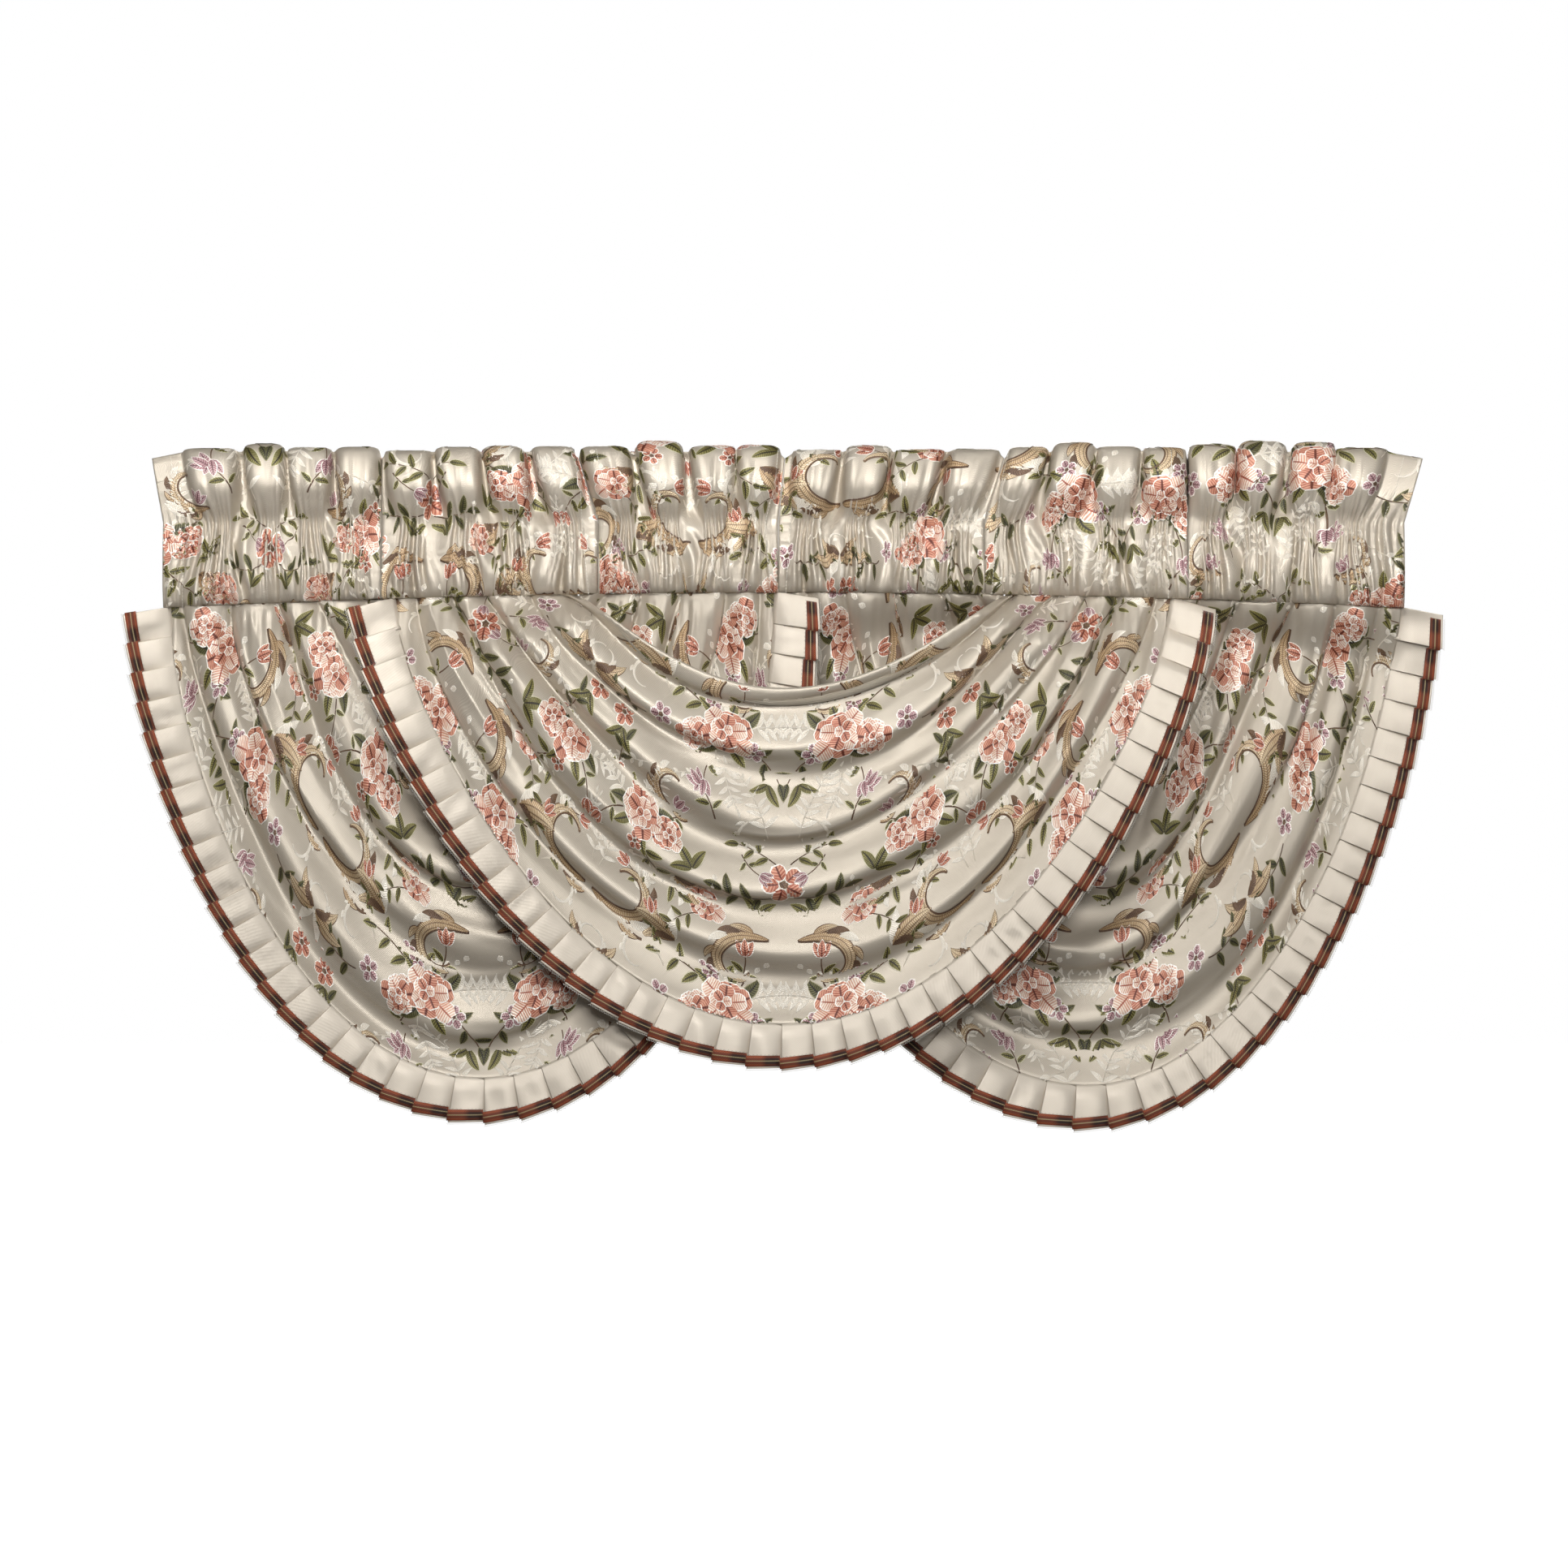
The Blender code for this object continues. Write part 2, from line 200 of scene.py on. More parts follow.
def threadMaterial(name, *look):
    root, tip, edge, vein = (tone(*colour) for colour in look[:4])
    veinShare, lines = look[4:]
    desk, weave = nodeDesk(name), threadWeave
    uv, along, across = desk.clothPlace()
    middle = desk.math("ABSOLUTE", desk.math("MULTIPLY_ADD", across, 2.0, -1.0))
    hatch = desk.wave(desk.math("MULTIPLY_ADD", middle, -0.004, along), weave["hatchPitch"])
    fleck = desk.noise(desk.objectPlace(), 300.0, 2.0)
    flecked = desk.math("MULTIPLY_ADD", fleck, weave["fleckTone"], -weave["fleckTone"] / 2)
    share = desk.math("MULTIPLY_ADD", hatch, weave["hatchTone"], flecked)
    colour = desk.blend(desk.math("MULTIPLY_ADD", desk.attribute("tip"), weave["tipTone"], share), root, tip)
    if lines:  # fine dark lines along a scroll
        wave = desk.math("SINE", desk.math("MULTIPLY", across, 2 * math.pi * lines))
        colour = desk.blend(desk.ramp(wave, 0.55, 0.95, 0.0, 0.75), colour, edge)
    if veinShare:
        colour = desk.blend(desk.ramp(middle, veinShare, veinShare * 0.5), colour, vein)
    colour = desk.blend(desk.ramp(desk.attribute("rim"), weave["rimFrom"], weave["rimTo"]), colour, edge)
    desk.raised(desk.math("MULTIPLY_ADD", hatch, 0.5, fleck), 0.6, 0.45)
    return desk.finish(colour, *weave["gloss"])


def ribbonMaterial(name, look):
    desk = nodeDesk(name)
    uv, along, across = desk.clothPlace()
    place = desk.math("FRACT", desk.math("MULTIPLY", along, 1.0 / (look["checkPitch"] * mm)))
    check = desk.math("MAXIMUM", desk.ramp(place, 0.58, 0.42), desk.ramp(place, 0.9, 0.99))
    fromMiddle = desk.math("ABSOLUTE", desk.math("SUBTRACT", across, 0.5))
    twill = desk.wave(desk.math("MULTIPLY_ADD", across, 0.014, along), look["twillPitch"])
    rib = desk.ramp(twill, -0.5, 0.4, 0.35, 1.0)
    atSides = desk.math("MULTIPLY_ADD", check, 0.55, 0.42)
    atMiddle = desk.math("MULTIPLY_ADD", check, 0.26, 0.06)
    sides = desk.ramp(fromMiddle, 0.24, 0.30)
    rusty = desk.math("MULTIPLY_ADD", sides, desk.math("SUBTRACT", atSides, atMiddle), atMiddle)
    colour = desk.blend(check, look["dark"], look["middle"])
    colour = desk.blend(desk.math("MULTIPLY", rib, rusty), colour, look["rust"])
    dashes = desk.math("MULTIPLY", desk.ramp(fromMiddle, 0.055, 0.035), desk.math("MULTIPLY_ADD", rib, 0.6, 0.35))
    colour = desk.blend(dashes, colour, look["gold"])
    desk.raised(twill, 0.5, 0.4)
    return desk.finish(colour, 0.6, 0.35, sheen=0.2, sheenRoughness=0.4)


def plainThread(name, colour, shade):
    desk = nodeDesk(name)
    fibre = desk.noise(desk.objectPlace(), 700.0, 1.0)
    desk.raised(fibre, 0.5, 0.3)
    return desk.finish(desk.blend(fibre, tone(*colour), tone(*shade)), 0.6, 0.4, sheen=0.2)


brocadeFront = satinMaterial("brocadeSatin", clothLook["ground"], clothLook["groundLight"],
                             clothLook["groundShade"], clothLook["groundTwill"], clothLook["brocadeGloss"])
brocadeBack = reverseMaterial("brocadeReverse")
ruffleFront = satinMaterial("ruffleSatin", clothLook["ruffle"], clothLook["ruffle"],
                            clothLook["ruffleShade"], clothLook["ruffleTwill"], clothLook["ruffleGloss"])
plaidRibbon = ribbonMaterial("plaidRibbon", ribbonLook)
threads = {name: threadMaterial(name + "Thread", *look) for name, look in threadLook.items()}
threadNames = list(threads)
picotThread = plainThread("picotThread", (238, 234, 226), (214, 208, 196))
seamThread = plainThread("seamThread", (150, 140, 122), (104, 94, 78))
hemThread = plainThread("hemThread", (236, 232, 222), (196, 188, 172))
print("materials made")


# sheets
def gridSheet(name, points, uv, materials, thickness, ring=False):
    # points: rows x columns x 3 in mm, rows running down the front; a ring has one more row of uv than of points
    rows, columns = points.shape[:2]
    row, column = np.meshgrid(np.arange(rows if ring else rows - 1), np.arange(columns - 1), indexing="ij")
    corners = ((row, column), (row + 1, column), (row + 1, column + 1), (row, column + 1))
    faces = np.stack([(r % rows) * columns + c for r, c in corners], axis=-1).reshape(-1, 4)
    places = np.stack([uv[r, c] for r, c in corners], axis=2).reshape(-1, 2)
    obj = clothPiece(name, points.reshape(-1, 3), faces, places * mm, materials)
    solid = obj.modifiers.new("clothThickness", "SOLIDIFY")
    solid.thickness = thickness * mm
    solid.offset = -1.0
    solid.material_offset = len(materials) - 1
    return obj


def gridNormals(points):
    normal = np.cross(np.gradient(points, axis=0), np.gradient(points, axis=1))
    return normal / np.maximum(np.linalg.norm(normal, axis=2, keepdims=True), 1e-9)


def clothArea(points):  # one side of the cloth, in square metres
    down, across = np.diff(points, axis=0)[:, :-1], np.diff(points, axis=1)[:-1]
    return float(np.linalg.norm(np.cross(down, across), axis=2).sum()) * mm * mm


def runsAlong(points, axis):  # length run so far along each line of the grid
    steps = np.linalg.norm(np.diff(points, axis=axis), axis=-1)
    start = np.zeros_like(np.take(steps, [0], axis=axis))
    return np.concatenate([start, np.cumsum(steps, axis=axis)], axis=axis)


# swags
swagCloth = {
    "thickness": 0.9, "columns": 210, "rows": 126, "lipRows": 5, "tab": 6.0, "seamGap": 0.35,
    "cowlRoundness": 1.2, "sharpnessAtHeads": 0.6, "sharpnessAtMiddle": 2.3,
    "rollOverAtHeads": 0.12, "rollOverAtMiddle": 0.17, "wander": 0.018,
    "fineFolds": 2.9, "fineCount": 11.0, "fineAtMiddle": 0.36,
    "gatherPitch": 12.5, "gatherDepth": 1.8, "gatherReach": 42.0, "gatherStart": 14.0,
    "seamRidge": 0.7, "seamRidgeInset": 4.0, "seamRidgeWidth": 2.6,
    "reliefAtHeads": 1.5, "reliefAtMiddle": 1.05, "reliefAtSeam": 0.7, "seamDrop": 202.0, "seamSag": 22.0,
}

swags = [  # rolls: start, end, size near the heads, size at the middle
    {"name": "left", "centre": -410, "leftOuter": -839, "leftInner": -537, "rightInner": -280, "rightOuter": -11,
     "cowlDrop": 165, "edgeDrop": 651, "leftRoundness": 0.64, "rightRoundness": 0.54, "front": -4,
     "foldDepth": 16, "belly": 10, "cowlRamp": 40, "edgeRamp": 115, "leftLean": -5, "rightLean": -15,
     "rolls": ((-0.06, 0.12, 1.0, 0.6), (0.12, 0.32, 1.0, 0.9), (0.32, 0.53, 0.95, 1.0),
               (0.53, 0.73, 1.0, 0.8), (0.73, 0.93, 1.0, 0.9), (0.93, 1.07, 0.9, 0.8)),
     "patternShift": -70},
    {"name": "middle", "centre": -2, "leftOuter": -534, "leftInner": -282, "rightInner": 300, "rightOuter": 529,
     "cowlDrop": 127, "edgeDrop": 576, "leftRoundness": 0.76, "rightRoundness": 0.76, "front": -46,
     "foldDepth": 18, "belly": 28, "cowlRamp": 28, "edgeRamp": 130, "leftLean": -15, "rightLean": -15,
     "rolls": ((-0.06, 0.08, 1.0, 0.8), (0.08, 0.28, 1.0, 1.0), (0.28, 0.48, 0.9, 0.9),
               (0.48, 0.69, 1.0, 1.0), (0.69, 0.89, 0.95, 0.8), (0.89, 1.11, 0.9, 0.8)),
     "patternShift": 0},
    {"name": "right", "centre": 411, "leftOuter": 3, "leftInner": 298, "rightInner": 532, "rightOuter": 839,
     "cowlDrop": 165, "edgeDrop": 663, "leftRoundness": 0.50, "rightRoundness": 0.67, "front": 28,
     "foldDepth": 18, "belly": 8, "cowlRamp": 34, "edgeRamp": 86, "leftLean": 22, "rightLean": -5,
     "rolls": ((-0.06, 0.11, 1.0, 0.6), (0.11, 0.30, 1.0, 0.9), (0.30, 0.52, 1.0, 1.0),
               (0.52, 0.72, 0.9, 0.9), (0.72, 0.92, 1.0, 0.8), (0.92, 1.08, 0.9, 0.8)),
     "patternShift": -70},
]

# Main creases, listed in mm on the front: from (x, z) to (x, z), half width, depth (plus is a trough).
creases = {
    "left": [(-770, -260, -700, -420, 11, 3.0), (-716, -330, -610, -600, 9, -2.5), (-640, -300, -560, -520, 10, 3.0),
             (-600, -560, -470, -700, 12, 3.5), (-520, -640, -330, -690, 10, -2.5), (-560, -420, -450, -560, 9, 2.5),
             (-150, -330, -250, -600, 9, 3.0), (-90, -300, -150, -560, 9, -2.5), (-330, -740, -220, -640, 10, 3.0),
             (-780, -380, -740, -560, 9, 2.5), (-460, -800, -330, -805, 9, 2.0), (-700, -560, -600, -720, 10, -2.0)],
    "middle": [(-470, -300, -330, -520, 11, 3.5), (-420, -260, -250, -420, 9, -2.5),
               (-330, -330, -170, -470, 10, 3.0), (-250, -560, -60, -640, 11, 3.0), (90, -470, 260, -380, 10, 3.0), (60, -640, 240, -560, 10, -2.5),
               (350, -520, 470, -320, 11, 3.5), (260, -470, 400, -300, 9, -2.5), (-380, -560, -260, -690, 10, 2.5),
               (240, -690, 360, -570, 10, 2.5), (-60, -720, 90, -722, 9, 2.0), (-450, -400, -400, -530, 9, 2.5)],
    "right": [(770, -260, 700, -430, 11, 3.0), (716, -330, 620, -600, 9, -2.5), (650, -300, 560, -540, 10, 3.0),
              (600, -580, 480, -710, 12, 3.5), (500, -660, 340, -700, 10, -2.5), (520, -420, 470, -580, 9, 2.5),
              (230, -420, 280, -640, 9, 3.0), (330, -720, 250, -640, 10, 3.0), (790, -380, 745, -570, 9, 2.5),
              (470, -815, 340, -812, 9, 2.0), (700, -580, 610, -730, 10, -2.0), (600, -340, 560, -460, 8, 2.5)],
}


# Smaller ridges that run out of the heads between the main rolls and die away: from (t, v) to (t, v), width, depth.
ridges = {
    "left": [(-0.97, 0.32, -0.30, 0.29, 0.026, 7.0), (-0.96, 0.74, -0.42, 0.70, 0.030, 7.0),
             (-0.95, 0.11, -0.5, 0.13, 0.02, 5.0), (0.96, 0.53, 0.25, 0.56, 0.030, 7.0),
             (0.95, 0.90, 0.45, 0.86, 0.026, 5.0), (0.2, 0.72, -0.35, 0.75, 0.022, 3.5)],
    "middle": [(-0.97, 0.27, -0.28, 0.31, 0.026, 8.0), (-0.96, 0.70, -0.36, 0.65, 0.032, 7.0),
               (-0.95, 0.88, -0.5, 0.92, 0.024, 5.0), (0.97, 0.49, 0.24, 0.45, 0.028, 8.0),
               (0.95, 0.89, 0.42, 0.86, 0.028, 6.0), (0.95, 0.09, 0.48, 0.13, 0.022, 5.0),
               (-0.22, 0.45, 0.3, 0.43, 0.018, 4.0)],
    "right": [(0.97, 0.30, 0.30, 0.27, 0.026, 7.0), (0.96, 0.73, 0.40, 0.69, 0.030, 7.0),
              (0.95, 0.93, 0.5, 0.9, 0.022, 5.0), (-0.96, 0.52, -0.25, 0.55, 0.030, 7.0),
              (-0.95, 0.12, -0.45, 0.15, 0.024, 5.0), (-0.2, 0.62, 0.35, 0.6, 0.02, 3.5)],
}


def seamDrop(x):
    halfWidth = 866.0
    return swagCloth["seamDrop"] + swagCloth["seamSag"] * (x / halfWidth) ** 2


def foldHeight(swag, v, spread):
    height, length, before = np.zeros_like(v), np.full_like(v, 0.2), -9.0
    sharpness = mix(swagCloth["sharpnessAtHeads"], swagCloth["sharpnessAtMiddle"], spread)
    for start, end, nearHeads, atMiddle in swag["rolls"]:
        inside = (v > before) & (v <= end)
        phase = np.clip((v - start) / (end - start), 0.0, 1.0)
        shape = mix(nearHeads, atMiddle, spread) * np.sin(np.pi * phase) ** sharpness
        height = np.where(inside, shape, height)
        length = np.where(inside, end - start, length)
        before = end
    return height, length


def swagSurface(swag, t, v):
    # t runs -1 to 1 across the swag, v 0 at the cowl to 1 at the lower edge
    cloth, centre = swagCloth, swag["centre"]
    spread = np.cos(np.pi * t / 2) ** 2
    calm = smoothStep(v / 0.06) * smoothStep((1.0 - v) / 0.08)
    wandered = v + cloth["wander"] * np.sin(7.3 * t + 11.0 * v + centre * 0.01) * calm
    height, length = foldHeight(swag, wandered, spread)
    over = mix(cloth["rollOverAtHeads"], cloth["rollOverAtMiddle"], spread)
    w = v + over * length * (height - 0.45) * calm
    left = mix(swag["leftInner"], swag["leftOuter"], w)
    right = mix(swag["rightInner"], swag["rightOuter"], w)
    x = centre + np.where(t < 0, centre - left, right - centre) * np.sin(np.pi * t / 2)
    anchor = mix(seamDrop(left), seamDrop(right), (t + 1) / 2) + cloth["tab"] + cloth["seamGap"]
    roundness = np.where(t < 0, swag["leftRoundness"], swag["rightRoundness"])
    fall = mix(swag["cowlDrop"], swag["edgeDrop"], w) * spread ** mix(cloth["cowlRoundness"], roundness, w)
    z = -(anchor + fall)

    # fine folds with sharp creases, then the listed creases and ridges, then the gathers at the heads
    waves = cloth["fineCount"] * v + 0.7 * t + 0.35 * np.sin(5.0 * t + 3.0 * v) + 0.2 * np.sin(13.0 * v + centre)
    fine = 1.0 - 1.6 * np.abs(np.sin(np.pi * waves)) ** 0.8
    uneven = 0.65 + 0.35 * np.sin(19.0 * v + 6.0 * t + centre)
    y = -(cloth["fineFolds"] * mix(1.0, cloth["fineAtMiddle"], spread) * fine * uneven * calm)
    for x0, z0, x1, z1, width, depth in creases[swag["name"]]:
        run = math.hypot(x1 - x0, z1 - z0)
        ux, uz = (x1 - x0) / run, (z1 - z0) / run
        along = (x - x0) * ux + (z - z0) * uz
        off = (x - x0) * uz - (z - z0) * ux
        ends = smoothStep(along / (0.35 * run)) * smoothStep((run - along) / (0.35 * run))
        y = y + depth * np.exp(-(off / width) ** 2) * ends * calm
    for t0, v0, t1, v1, width, depth in ridges[swag["name"]]:
        share = (t - t0) / (t1 - t0)
        off = (v - mix(v0, v1, np.clip(share, 0.0, 1.0))) / width
        y = y - depth * np.exp(-off ** 2) * smoothStep(share / 0.35) * smoothStep((1.0 - share) / 0.45) * calm
    gathers = np.sin(2 * np.pi * x / cloth["gatherPitch"] + 1.7 * np.sin(x / 31.0))
    y = y - cloth["gatherDepth"] * gathers * np.exp(-fall / cloth["gatherReach"]) * smoothStep(
        fall / cloth["gatherStart"])

    # the rolls themselves, which keep the solid's own depth at the lower edge
    relief = swag["foldDepth"] * mix(cloth["reliefAtHeads"], cloth["reliefAtMiddle"], spread) * (0.5 - height)
    base = swag["front"] + 0.5 * swag["foldDepth"] - swag["belly"] * spread
    ramp = mix(swag["cowlRamp"], swag["edgeRamp"], v)
    atEdge = mix(smoothStep(fall / ramp), mix(cloth["reliefAtSeam"], 1.0, smoothStep(fall / 30.0)), calm)
    y = y * smoothStep(fall / 24.0) + relief * atEdge + base * smoothStep(fall / ramp)
    return np.stack([x, y, z], axis=-1)


def swagGrid(swag):
    t = np.linspace(-1.0, 1.0, swagCloth["columns"] + 1)
    v = np.linspace(0.0, 1.0, swagCloth["rows"] + 1)
    points = swagSurface(swag, *np.meshgrid(t, v))
    fromEdge = (1.0 - v[:, None]) * 480.0  # about how far down the cloth the edge still is, in mm
    ridge = swagCloth["seamRidge"] * np.exp(
        -((fromEdge - swagCloth["seamRidgeInset"]) / swagCloth["seamRidgeWidth"]) ** 2)
    points[:, :, 1] -= ridge * smoothStep((-points[:, :, 2] - 240.0) / 40.0)
    lips = []
    for share in np.linspace(1.0, 0.0, swagCloth["lipRows"] + 1)[:-1]:  # the cowl's edge turns back and down
        back = np.interp(share, (0, 0.25, 0.5, 0.75, 1.0), (0.0, 3.4, 5.0, 7.0, 9.0))
        down = np.interp(share, (0, 0.25, 0.5, 0.75, 1.0), (0.0, 1.4, 5.0, 14.0, 24.0))
        lip = points[0].copy()
        grown = smoothStep((-lip[:, 2] - 227.0) / 50.0)
        lip[:, 1] += back * grown
        lip[:, 2] -= down * grown
        lips.append(lip)
    points = np.concatenate([np.array(lips), points])
    ends = points[:, [0, -1]].copy()
    ends[:, :, 2] += swagCloth["tab"]
    return np.concatenate([ends[:, :1], points, ends[:, 1:]], axis=1)


def clothPlaces(points, middle, firstRow):
    # (p, q) of each point on the flat cloth: p along the rows from the middle column, q down the columns
    along, down = runsAlong(points, 1), runsAlong(points, 0)
    return np.stack([along - along[:, middle : middle + 1], down - down[firstRow]], axis=-1)


swagMeshes = {}
for swag in swags:
    points = swagGrid(swag)
    middle = points.shape[1] // 2
    places = clothPlaces(points, middle, swagCloth["lipRows"])
    piece = gridSheet("swagCloth_" + swag["name"], points, places, (brocadeFront, brocadeBack),
                      swagCloth["thickness"])
    bands = []  # first row, row of the crest and last row of each roll
    for start, end, nearHeads, atMiddle in swag["rolls"]:
        bands.append([swagCloth["lipRows"] + round(np.clip(v, 0, 1) * swagCloth["rows"])
                      for v in (start, (start + end) / 2, end)])
    swagMeshes[swag["name"]] = {"piece": piece, "points": points, "places": places, "bands": bands}
print("swags draped:", [round(clothArea(found["points"]), 3) for found in swagMeshes.values()])


# gathered heads
headCloth = {"thickness": 0.9, "column": 2.3, "row": 4.8, "backRow": 12.0, "gatherPitch": 12.0, "gatherDepth": 11.0,
             "pocketPitch": 24.0, "pocketFold": 14.0, "puffSharpness": 5.0, "intoGap": 3.0, "gapDepth": 13.0,
             "gatherFan": 9.0, "pocketFan": 16.0, "pinchDrop": 112.0, "gapDrop": 15.0, "sideDrop": 24.0,
             "sideCalm": 24.0, "dents": 2, "dentDepth": (0.8, 2.4), "dentWidth": (4, 8), "lip": 5.0, "seed": 11}

headSection = (  # level 0 top edge, 1 pinch line, 2 lower seam; depth, what a puff adds, how much narrower it is
    (2.00, 0.0, 0.0, 0.10), (1.92, -8.5, -1.0, 0.12), (1.74, -12.8, -1.5, 0.18), (1.38, -12.0, -2.0, 0.30),
    (1.00, -7.0, -1.0, 0.38), (0.78, -6.5, -13.0, 0.26), (0.52, -6.5, -23.0, 0.07), (0.22, -4.5, -20.0, 0.0),
    (0.06, -2.5, -12.0, 0.00), (0.00, 0.0, 0.0, 0.00),
    (0.10, 5.0, 6.0, 0.00), (0.55, 6.0, 8.0, 0.10), (1.00, 2.6, 1.0, 0.38), (1.28, 13.5, 1.5, 0.33),
    (1.75, 13.5, 1.5, 0.18),
)

heads = [  # name, left edge at the top and at the seam, right edge the same, puffs: left, right, drop of the top
    ("left_outer", -862, -846, -549, -549, ((-817, -749, 10), (-735, -683, 4), (-675, -619, 9), (-609, -554, 8))),
    ("middle_left", -548.6, -548.6, -281, -254,
     ((-541, -485, 13), (-474, -419, 8), (-409, -359, 7), (-343, -289, 7))),
    ("left_inner", -280.6, -253.6, 0, -9, ((-276, -215, 7), (-201, -141, 1), (-128, -69, 7), (-63, -9, 6))),
    ("right_inner", 0.4, -8.6, 299, 271, ((14, 74, 12), (86, 143, 6), (153, 215, 12), (228, 290, 11))),
    ("middle_right", 299.4, 271.4, 548, 548, ((307, 356, 8), (367, 422, 2), (427, 483, 7), (490, 544, 9))),
    ("right_outer", 548.4, 548.4, 869, 843, ((552, 612, 4), (620, 681, 0), (693, 751, 2), (752, 818, 9))),
]


def sectionRows():
    # the ring of section lines, rounded and cut into even rows
    lines = np.array(headSection)
    found = []
    for index in range(len(lines)):
        before, here, after, beyond = (lines[(index + step) % len(lines)] for step in (-1, 0, 1, 2))
        length = math.hypot(abs(after[0] - here[0]) * 100.0, after[1] - here[1] + 0.6 * (after[2] - here[2]))
        steps = max(2, round(length / headCloth["row" if here[1] + here[2] < 0 else "backRow"]))
        for step in range(steps):
            f = step / steps
            found.append(0.5 * (2 * here + (after - before) * f + (2 * before - 5 * here + 4 * after - beyond) * f * f
                                + (3 * here - before - 3 * after + beyond) * f ** 3))
    found = np.array(found)
    found[:, 0] = np.clip(found[:, 0], 0.0, 2.0)
    return found


def seamRelief(x):
    # how far the rolls of the swag below stand out where they are sewn to the heads
    found = np.zeros_like(x)
    for swag in swags:
        for inner, outer in (("leftInner", "leftOuter"), ("rightInner", "rightOuter")):
            v = (x - swag[inner]) / (swag[outer] - swag[inner])
            height = foldHeight(swag, np.clip(v, 0.0, 1.0), np.zeros_like(x))[0]
            relief = swag["foldDepth"] * swagCloth["reliefAtHeads"] * (0.5 - height) * swagCloth["reliefAtSeam"]
            found = np.where((v >= 0) & (v <= 1), relief, found)
    return found


def headGrid(head, dice):
    leftTop, leftLow, rightTop, rightLow, puffs = head[1:]
    cloth = headCloth
    gapDrop, pinchDrop = cloth["gapDrop"], cloth["pinchDrop"]
    xTop = np.linspace(leftTop, rightTop, max(40, round((rightTop - leftTop) / cloth["column"])) + 1)
    fullness, topDrop = np.zeros_like(xTop), np.full_like(xTop, gapDrop)
    for edge, inner in ((leftTop, puffs[0][0]), (rightTop, puffs[-1][1])):
        near = (xTop - inner) * (edge - inner) > 0
        topDrop = np.where(near, mix(gapDrop, cloth["sideDrop"], (xTop - inner) / (edge - inner)), topDrop)
    for left, right, drop in puffs:
        spare = cloth["intoGap"]
        u = np.clip((xTop - left + spare) / (right - left + 2 * spare), 0.0, 1.0)
        full = np.maximum(0.0, 1.0 - np.abs(2 * u - 1) ** cloth["puffSharpness"]) ** 0.6
        fullness = np.maximum(fullness, full)
        topDrop = np.where(full > 0, mix(gapDrop, drop, full), topDrop)

    # the section, with the puffs drawn together towards the pinch line
    rows = sectionRows()
    level, depth, bulge, squeeze = (rows[:, k : k + 1] for k in range(4))
    breaks = [leftTop] + [edge for puff in puffs for edge in puff[:2]] + [rightTop]
    x = np.empty((len(rows), len(xTop)))
    for index, share in enumerate(squeeze[:, 0]):
        drawn = [leftTop]
        for left, right, drop in puffs:
            centre = (left + right) / 2
            drawn += [mix(left, centre, share), mix(right, centre, share)]
        x[index] = np.interp(xTop, breaks, drawn + [rightTop])
    share = (x - leftTop) / (rightTop - leftTop)
    x = x + mix(leftLow - leftTop, rightLow - rightTop, share) * np.minimum(level, 1.0)
    drop = np.where(level <= 1.0, mix(topDrop, pinchDrop, level), mix(pinchDrop, seamDrop(x), level - 1.0))
    y = depth + bulge * fullness
    inFront = depth + bulge * 0.5 < 0
    inGap = (1.0 - fullness) ** 2
    inGap = inGap * smoothStep((xTop - puffs[0][0]) / 6.0) * smoothStep((puffs[-1][1] - xTop) / 6.0)
    gap = np.where(inFront | (level > 1.99), 1.0, 0.45) * cloth["gapDepth"]
    y = y + gap * inGap * smoothStep(level / 0.1) * smoothStep((1.1 - level) / 0.3)
    y = y + seamRelief(x) * smoothStep((level - 1.3) / 0.7)
    outward = np.where(inFront, -1.0, 1.0)

    # pinched gathers: round little folds with sharp creases that fan up into the puffs and down the pocket
    pinched = np.exp(-((level - 1.0) / 0.26) ** 2)
    pinched = pinched + 0.7 * smoothStep((level - 1.0) / 0.3) * smoothStep((2.0 - level) / 0.06)
    pinched = pinched * smoothStep((level - 0.22) / 0.5)
    below = smoothStep((level - 0.95) / 0.4) * smoothStep((2.0 - level) / 0.03)
    ends = smoothStep((xTop - leftTop) / cloth["sideCalm"]) * smoothStep((rightTop - xTop) / cloth["sideCalm"])
    for zone, pitch, deep, reach in ((pinched, cloth["gatherPitch"], cloth["gatherDepth"], cloth["gatherFan"]),
                                     (below, cloth["pocketPitch"], cloth["pocketFold"], cloth["pocketFan"])):
        knots, sizes, fans = [leftTop], [0.0], [0.0]
        while knots[-1] < rightTop:
            knots.append(knots[-1] + pitch * dice.uniform(0.55, 1.45))
            sizes.append(dice.uniform(0.35, 1.3))
            fans.append(dice.uniform(-reach, reach))
        fanned = xTop + np.interp(xTop, knots, fans) * (level - 1.2) + 3.0 * np.sin(level * 5.0 + xTop / 40.0)
        phase = np.interp(fanned, knots, np.arange(len(knots)))
        crease = 1.0 - np.abs(np.sin(np.pi * phase)) ** 0.7
        y = y + outward * deep * np.interp(fanned, knots, sizes) * zone * ends * (0.4 - crease)

    # long soft dents down each puff
    puffZone = smoothStep((0.95 - level) / 0.3) * smoothStep((level - 0.04) / 0.2)
    for left, right in [puff[:2] for puff in puffs for dent in range(cloth["dents"])]:
        centre = dice.uniform(left + 12, right - 12)
        off = xTop + dice.uniform(-14, 14) * (level - 0.5) - centre
        deep = outward * dice.uniform(*cloth["dentDepth"])
        y = y - deep * puffZone * np.exp(-(off / dice.uniform(*cloth["dentWidth"])) ** 2)
    lip = smoothStep((level - 1.85) / 0.15)  # the hem over the seam
    return np.stack([x, y - 1.5 * lip, -drop - cloth["lip"] * lip], axis=-1)[::-1]


